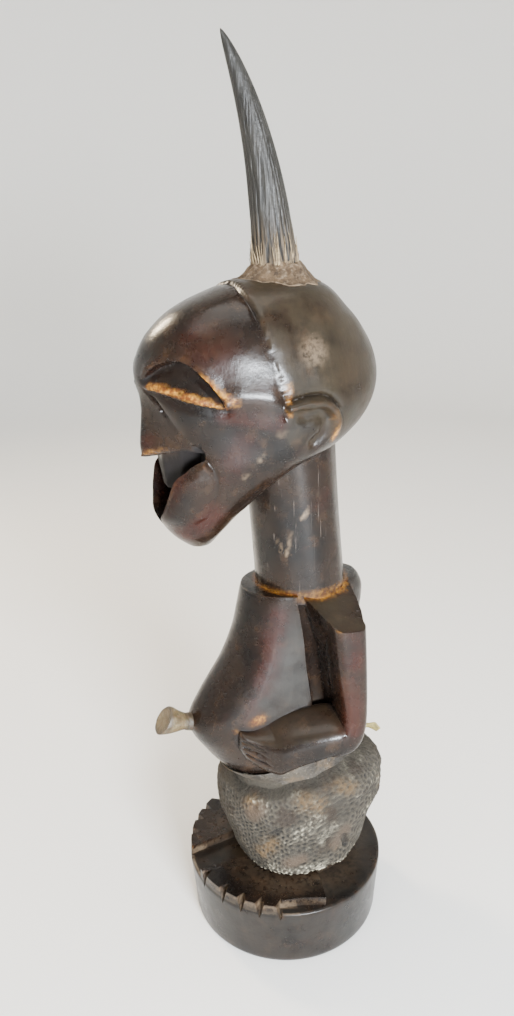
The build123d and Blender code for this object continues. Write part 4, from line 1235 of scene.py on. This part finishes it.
# ------------------------------------------------------------------ Hide skirt
# One piece of dried lizard hide, wrapped wet round the hips and legs so that it shrank on tight.
# Its scales have dried into a net of small raised grains with pits between; the hem is ragged.
WAIST_SLOPE = math.tan(math.radians(7.0))
# (height over the middle of the base, half width, front y, back y) of the hide's outer side
HIDE_RINGS = (
    (50.8, 46.0, -35.0, 49.0),
    (60.0, 46.2, -38.0, 53.5),
    (74.0, 46.4, -42.0, 62.5),
    (90.0, 46.8, -45.5, 71.5),
    (103.0, 46.4, -47.0, 71.8),
    (112.0, 44.0, -47.0, 66.5),
    (119.0, 38.8, -45.0, 58.5),
    (126.0, 34.5, -43.5, 51.5),
    (134.0, 33.0, -47.0, 49.0),
)
HIDE_TOP, TIGHT_FROM, TIGHT_TO = 133.0, 116.0, 124.0
HIDE_THICK, SCALE_PITCH, SCALE_HEIGHT = 2.2, 3.75, 0.55
HIDE_HOLES = (
    (2.1, 3.4, ((33, -35.5, 115), (32, -38.5, 109))),
    (2.2, 2.4, ((45.5, 25, 74), (45, 27, 66))),
    (1.9, 1.2, ((46, -6, 62.0), (45.2, -15, 60.0), (43, -23, 61.5))),
    (1.2, 3.0, ((41, -24, 92), (38, -29, 86))),
)
SMOOTH_PATCHES = ((1.0, 5.5, ((33, -34, 108), (30, -37.5, 102))), (0.9, 4.5, ((45.4, -8, 65.8), (44.2, -18, 65.0))), (0.7, 5.0, ((45.8, 18, 70), (45.6, 26, 80))))
PALE_GRAINS = ((0.9, 5.0, ((37, -27, 58), (42, -18, 55), (44, -6, 55), (45, 8, 54))), (0.8, 4.0, ((30, -36, 112), (35, -31, 110))), (0.6, 6.0, ((46, -10, 88), (47, 4, 96))), (0.7, 5.0, ((46, 8, 80), (46, 16, 84))), (0.6, 5.0, ((42, 52, 110), (38, 60, 104))))
TAN_GRAINS = ((0.9, 6.0, ((29, -37, 118), (29, -38, 110))), (0.6, 7.0, ((44, -6, 112), (46, 6, 106))), (0.6, 6.0, ((45, 22, 116), (45, 30, 112))), (0.7, 6.0, ((34, -33, 72), (38, -28, 80))))


trunk_turns, trunk_rises = np.meshgrid(np.linspace(0, 1, 361)[:-1], np.linspace(0, 0.6, 61))
trunk_skin = trunk_place(trunk_turns.ravel(), trunk_rises.ravel()).reshape(61, 360, 3)


def trunk_reach(angle, height):
    """Distance of the trunk's skin from its upright axis, at an angle round it and a height."""
    around = np.arctan2(trunk_skin[:, :, 0], TRUNK_AXIS_Y - trunk_skin[:, :, 1])
    reach = np.hypot(trunk_skin[:, :, 0], TRUNK_AXIS_Y - trunk_skin[:, :, 1])
    spread = np.linspace(-math.pi, math.pi, 361)
    table = []
    for row in range(61):
        order = np.argsort(around[row])
        table.append(np.interp(spread, around[row][order], reach[row][order], period=2 * math.pi))
    row = np.interp(height, trunk_skin[:, 0, 2], np.arange(61))
    low = np.clip(row.astype(int), 0, 59)
    column = (angle + math.pi) / (2 * math.pi) * 360
    left = np.clip(column.astype(int), 0, 359)
    table = np.array(table)
    lower = table[low, left] + (table[low, left + 1] - table[low, left]) * (column - left)
    upper = table[low + 1, left] + (table[low + 1, left + 1] - table[low + 1, left]) * (column - left)
    return lower + (upper - lower) * (row - low)


def hide_spot(turn, level, inset):
    """Place on the hide, inset in millimetres from its outer side; it hugs the trunk at the top."""
    start = HIDE_RINGS[0][0]
    share = np.interp(level, [row[0] for row in HIDE_RINGS], np.linspace(0, 1, len(HIDE_RINGS)))
    height, half, front, back = smooth_rows(HIDE_RINGS, share).T
    x, y = boxy(half, (back - front) / 2, turn, 2.5)
    y = y + (front + back) / 2
    slope = WAIST_SLOPE * ease(level, start, 118.0)
    angle = np.arctan2(x, TRUNK_AXIS_Y - y)
    reach = np.hypot(x, TRUNK_AXIS_Y - y)
    tight = trunk_reach(angle, level + y * slope) + 2.1
    reach = reach + (tight - reach) * ease(level, TIGHT_FROM, TIGHT_TO) - inset
    x, y = reach * np.sin(angle), TRUNK_AXIS_Y - reach * np.cos(angle)
    return np.stack([x, y, level + y * slope], axis=1)


def scale_net(across, up):
    """Height of the dried scales, 0 in the pits and 1 on the grains, from distances round and up the hide."""
    wave = 2 * np.pi / SCALE_PITCH
    total = 0
    for index in range(3):
        angle = math.radians(60 * index)
        total = total + np.cos(wave * (across * math.cos(angle) + up * math.sin(angle)))
    return np.clip((1.5 - total) / 3.0, 0.0, 1.0)


def hide_place(turn, rise):
    """Outer side from hem to waist, then back down inside."""
    outer = rise < 0.93
    part = np.where(outer, rise / 0.93, 1 - (rise - 0.93) / 0.07)
    hem_turn = np.stack([np.cos(2 * np.pi * turn), np.sin(2 * np.pi * turn), 0 * turn], axis=1)
    ragged = roughen(hem_turn * 10, 2.2, 1.8, 31) + roughen(hem_turn * 10, 0.6, 1.3, 32)
    low = np.maximum(HIDE_RINGS[0][0] + 1.6 + ragged, HIDE_RINGS[0][0])
    level = low + (HIDE_TOP + roughen(hem_turn * 10, 3.0, 0.8, 33) - low) * part
    base = hide_spot(turn, level, 0.0)
    across = 300.0 * turn
    up = level * 1.02
    warp = roughen(base, 9.0, 2.6, 34), roughen(base, 10.0, 2.6, 35)
    net = scale_net(across + warp[0], up + warp[1])
    side = np.abs(base) * (1, 0, 0) + base * (0, 1, 1)
    near = np.where(base[:, 0] > 0, 1.0, 0.0)
    smooth = stroked(side, SMOOTH_PATCHES) * near
    tight = ease(level, 113, 121)
    folds = roughen(base, 19.0, 2.2, 36) * (1 - tight) + roughen(base, 8.0, 0.8, 37) * (1 - tight)
    grains = (SCALE_HEIGHT * (net - 0.6) * (1 - 0.85 * smooth) + roughen(base, 1.6, 0.35, 38)) * (1 - 0.4 * tight)
    holes = sum(depth * np.exp(-((near_line(side, line)[0] / reach) ** 4)) for depth, reach, line in HIDE_HOLES) * near
    fray = 0.9 * (1 - ease(level - low, 0.0, 3.0)) * np.abs(roughen(base, 1.2, 1.0, 39))
    inset = np.where(outer, np.clip(0.55 - folds - grains + holes + fray, -1.0, 2.3), HIDE_THICK + 0.25)
    return hide_spot(turn, level, inset)


hide = as_piece("hide_wrap", looped(560, 138, hide_place))
places, normals = spots_of(hide)
side = np.abs(places) * (1, 0, 0) + places * (0, 1, 1)
near = np.where(places[:, 0] > 0, 1.0, 0.75)
attribute(hide, "ridge", edge_turn(hide, 1) * 2.0)
attribute(hide, "smooth_skin", stroked(side, SMOOTH_PATCHES) * near)
attribute(hide, "hole", np.clip(sum(np.exp(-((near_line(side, line)[0] / (reach * 0.95)) ** 4)) for depth, reach, line in HIDE_HOLES), 0, 1) * (places[:, 0] > 0))
attribute(hide, "pale", np.maximum(stroked(side, PALE_GRAINS) * near, 1 - ease(places[:, 2], 51.5, 56.5)))
attribute(hide, "tan", stroked(side, TAN_GRAINS) * near)
hide_paint, tree, shader = shaded("dried_lizard_hide")
ridge = put(tree, "MapRange", {0: worn_by(tree, "ridge"), 1: -0.55, 2: 0.65})
colour = over(tree, (0.004, 0.0035, 0.003), (0.060, 0.050, 0.036), ridge)
colour = over(tree, colour, (0.020, 0.017, 0.013), times(tree, blotch(tree, 62.0, 0.45, 0.65, 1.0), 0.6))
colour = over(tree, colour, (0.016, 0.010, 0.006), times(tree, blotch(tree, 44.0, 0.50, 0.64, 2.0), 0.85))
tan_mask = sum_of(tree, times(tree, worn_by(tree, "tan"), 1.2), times(tree, blotch(tree, 50.0, 0.58, 0.72, 3.0), 0.6))
colour = over(tree, colour, (0.10, 0.058, 0.022), times(tree, tan_mask, blotch(tree, 300.0, 0.35, 0.6, 4.0), 0.8))
light = put(tree, "MapRange", {0: worn_by(tree, "ridge"), 1: 0.10, 2: 0.50})
pale_mask = sum_of(tree, times(tree, worn_by(tree, "pale"), 0.95), times(tree, blotch(tree, 75.0, 0.55, 0.70, 5.0), 0.6))
colour = over(tree, colour, (0.42, 0.38, 0.28), times(tree, pale_mask, blotch(tree, 360.0, 0.42, 0.58, 6.0), sum_of(tree, light, 0.25), 0.9))
colour = over(tree, colour, (0.060, 0.040, 0.026), times(tree, worn_by(tree, "smooth_skin"), 0.8))
colour = over(tree, colour, (0.012, 0.010, 0.008), worn_by(tree, "hole"))
tree.links.new(colour.outputs[2], shader.inputs["Base Color"])
rough = sum_of(tree, 0.70, times(tree, blotch(tree, 90.0, 0.3, 0.7, 7.0), 0.2), times(tree, worn_by(tree, "smooth_skin"), -0.2))
tree.links.new(rough.outputs[0], shader.inputs["Roughness"])
height = sum_of(tree, times(tree, blotch(tree, 700.0, 0.3, 0.7, 8.0), 0.6), times(tree, blotch(tree, 330.0, 0.3, 0.7, 9.0), 0.6))
bump = put(tree, "Bump", {"Strength": 0.65, "Distance": 0.0009, "Height": height})
tree.links.new(bump.outputs[0], shader.inputs["Normal"])
shader.inputs["Specular IOR Level"].default_value = 0.3
hide.data.materials.append(hide_paint)
for polygon in hide.data.polygons:
    polygon.use_smooth = True
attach(hide, "figure")
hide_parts("hide_skirt")


# ------------------------------------------------------------------ Waist band
# Strip of the same hide laid over the thong at the waist and pressed flat while wet, so that its
# scales are smoother; it stops short of the knot at the back.
BAND_LOW, BAND_HIGH, BAND_GAP, BAND_THICK = 121.5, 133.2, 0.030, 1.4


def band_place(turn, rise):
    """Flat oval cross-section carried round the waist, from one side of the knot to the other."""
    angle = 2 * np.pi * turn
    arc = 0.25 + BAND_GAP + (1 - 2 * BAND_GAP) * rise
    across, out = np.cos(angle), np.sin(angle)
    edge = np.stack([np.cos(2 * np.pi * arc), np.sin(2 * np.pi * arc), 0 * arc], axis=1)
    middle = (BAND_LOW + BAND_HIGH) / 2 + roughen(edge * 10, 5.0, 0.8, 41)
    half = (BAND_HIGH - BAND_LOW) / 2 + roughen(edge * 10, 2.0, 0.6, 42)
    level = middle + np.sign(across) * np.abs(across) ** 0.45 * half
    closing = np.sqrt(np.clip(np.minimum(rise, 1 - rise) / 0.004, 0.0, 1.0))
    thick = np.sign(out) * np.abs(out) ** 0.6 * BAND_THICK / 2 * closing
    base = hide_spot(arc, level, 0.0)
    lump = roughen(base, 9.0, 0.4, 43) + roughen(base, 2.0, 0.18, 44)
    return hide_spot(arc, level, -0.25 - thick - lump * (out > 0))


band = as_piece("waist_strip", rolled(32, 420, band_place))
attribute(band, "ridge", edge_turn(band, 1) * 2.0)
band_paint, tree, shader = shaded("pressed_hide")
colour = over(tree, (0.016, 0.012, 0.008), (0.048, 0.038, 0.026), blotch(tree, 90.0, 0.35, 0.65, 1.0))
colour = over(tree, colour, (0.085, 0.050, 0.020), times(tree, blotch(tree, 60.0, 0.52, 0.68, 2.0), 0.65))
colour = over(tree, colour, (0.035, 0.026, 0.019), times(tree, blotch(tree, 260.0, 0.55, 0.68, 3.0), 0.75))
colour = over(tree, colour, (0.26, 0.22, 0.16), times(tree, blotch(tree, 480.0, 0.60, 0.70, 4.0), 0.6))
tree.links.new(colour.outputs[2], shader.inputs["Base Color"])
shader.inputs["Roughness"].default_value = 0.66
height = sum_of(tree, times(tree, blotch(tree, 330.0, 0.3, 0.7, 9.0), 0.9), times(tree, blotch(tree, 120.0, 0.3, 0.7, 5.0), 0.6))
bump = put(tree, "Bump", {"Strength": 0.7, "Distance": 0.0010, "Height": height})
tree.links.new(bump.outputs[0], shader.inputs["Normal"])
band.data.materials.append(band_paint)
for polygon in band.data.polygons:
    polygon.use_smooth = True
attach(band, "figure")
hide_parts("waist_band")


# ------------------------------------------------------------------ Thong
# Twisted hide thong round the waist, under the band, knotted at the small of the back; its two
# short ends stand out sideways and are cut to a flat diamond.
THONG_LEVEL, THONG_WIDE, THONG_THICK = 126.5, 3.4, 1.0
KNOT_PLACE, KNOT_SIZE = (0.0, 61.0, 126.2), (5.4, 3.9, 4.8)
TAIL_TIP = (12.6, 71.5, 128.2)


def thong_place(turn, rise):
    """Flat cord carried all the way round the waist."""
    angle = 2 * np.pi * turn
    level = THONG_LEVEL + np.cos(angle) * THONG_WIDE / 2
    thick = np.sin(angle) * THONG_THICK / 2
    base = hide_spot(rise, level, 0.3 - thick)
    return base


def knot_place(turn, rise):
    """Lumpy knot of two turns."""
    lift = np.pi * (rise - 0.5)
    angle = 2 * np.pi * turn
    bulge = 1 + 0.13 * np.sin(3 * angle + 5 * lift) + 0.07 * np.cos(7 * angle - 6 * lift)
    ring = np.stack([np.cos(lift) * np.sin(angle), np.cos(lift) * np.cos(angle), np.sin(lift)], axis=1)
    return np.array(KNOT_PLACE) + ring * bulge[:, None] * np.array(KNOT_SIZE)


def tail_shape(sign):
    """One flat end of the thong: narrow at the knot, a diamond at the tip."""
    start, end = np.array(KNOT_PLACE), np.array(TAIL_TIP) * (sign, 1, 1)
    way = (end - start) / np.linalg.norm(end - start)
    up = np.array([0, 0, 1.0]) - way[2] * way
    up /= np.linalg.norm(up)
    out = np.cross(way, up)

    def place(turn, rise):
        half = np.interp(rise, (0, 0.05, 0.45, 0.74, 0.8, 1.0), (0, 1.7, 1.9, 3.7, 3.6, 0.0))
        thick = np.interp(rise, (0, 0.05, 0.6, 0.95, 1.0), (0, 1.5, 1.0, 0.8, 0.0))
        angle = 2 * np.pi * turn
        middle = start + (end - start) * (0.1 + 0.98 * rise)[:, None] + up * (1.2 * np.sin(np.pi * rise))[:, None]
        return middle + up * (half * np.cos(angle))[:, None] + out * (thick * np.sin(angle))[:, None]

    return rolled(24, 50, place)


def loop_round(around, along, place):
    """Tube carried all the way round, joined end to end."""
    shell = bmesh.new()
    bmesh.ops.create_grid(shell, x_segments=around, y_segments=along, size=0.5)
    flat = np.array([vert.co[:2] for vert in shell.verts]) + 0.5
    for vert, spot in zip(shell.verts, place(flat[:, 0], flat[:, 1])):
        vert.co = spot * MM
    bmesh.ops.remove_doubles(shell, verts=shell.verts, dist=2e-6)
    bmesh.ops.recalc_face_normals(shell, faces=shell.faces)
    return shell


thong = as_piece("thong_loop", loop_round(12, 320, thong_place))
knot = as_piece("thong_knot", rolled(64, 40, knot_place))
tails = [as_piece("thong_end_left", tail_shape(1.0)), as_piece("thong_end_right", tail_shape(-1.0))]
thong_paint, tree, shader = shaded("waxed_thong")
colour = over(tree, (0.10, 0.075, 0.022), (0.36, 0.29, 0.10), blotch(tree, 150.0, 0.32, 0.62, 1.0))
colour = over(tree, colour, (0.035, 0.026, 0.014), times(tree, blotch(tree, 380.0, 0.56, 0.68, 2.0), 0.8))
tree.links.new(colour.outputs[2], shader.inputs["Base Color"])
shader.inputs["Roughness"].default_value = 0.5
bump = put(tree, "Bump", {"Strength": 0.5, "Distance": 0.0006, "Height": blotch(tree, 700.0, 0.3, 0.7, 3.0)})
tree.links.new(bump.outputs[0], shader.inputs["Normal"])
for piece in (thong, knot, *tails):
    piece.data.materials.append(thong_paint)
    for polygon in piece.data.polygons:
        polygon.use_smooth = True
    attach(piece, "figure")
    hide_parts("skirt_tie")

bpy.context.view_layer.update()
for item in bpy.context.scene.objects:
    if item.type == "MESH" and not item.hide_render:
        print("COUNT", item.name, sum(len(p.vertices) - 2 for p in item.data.polygons))
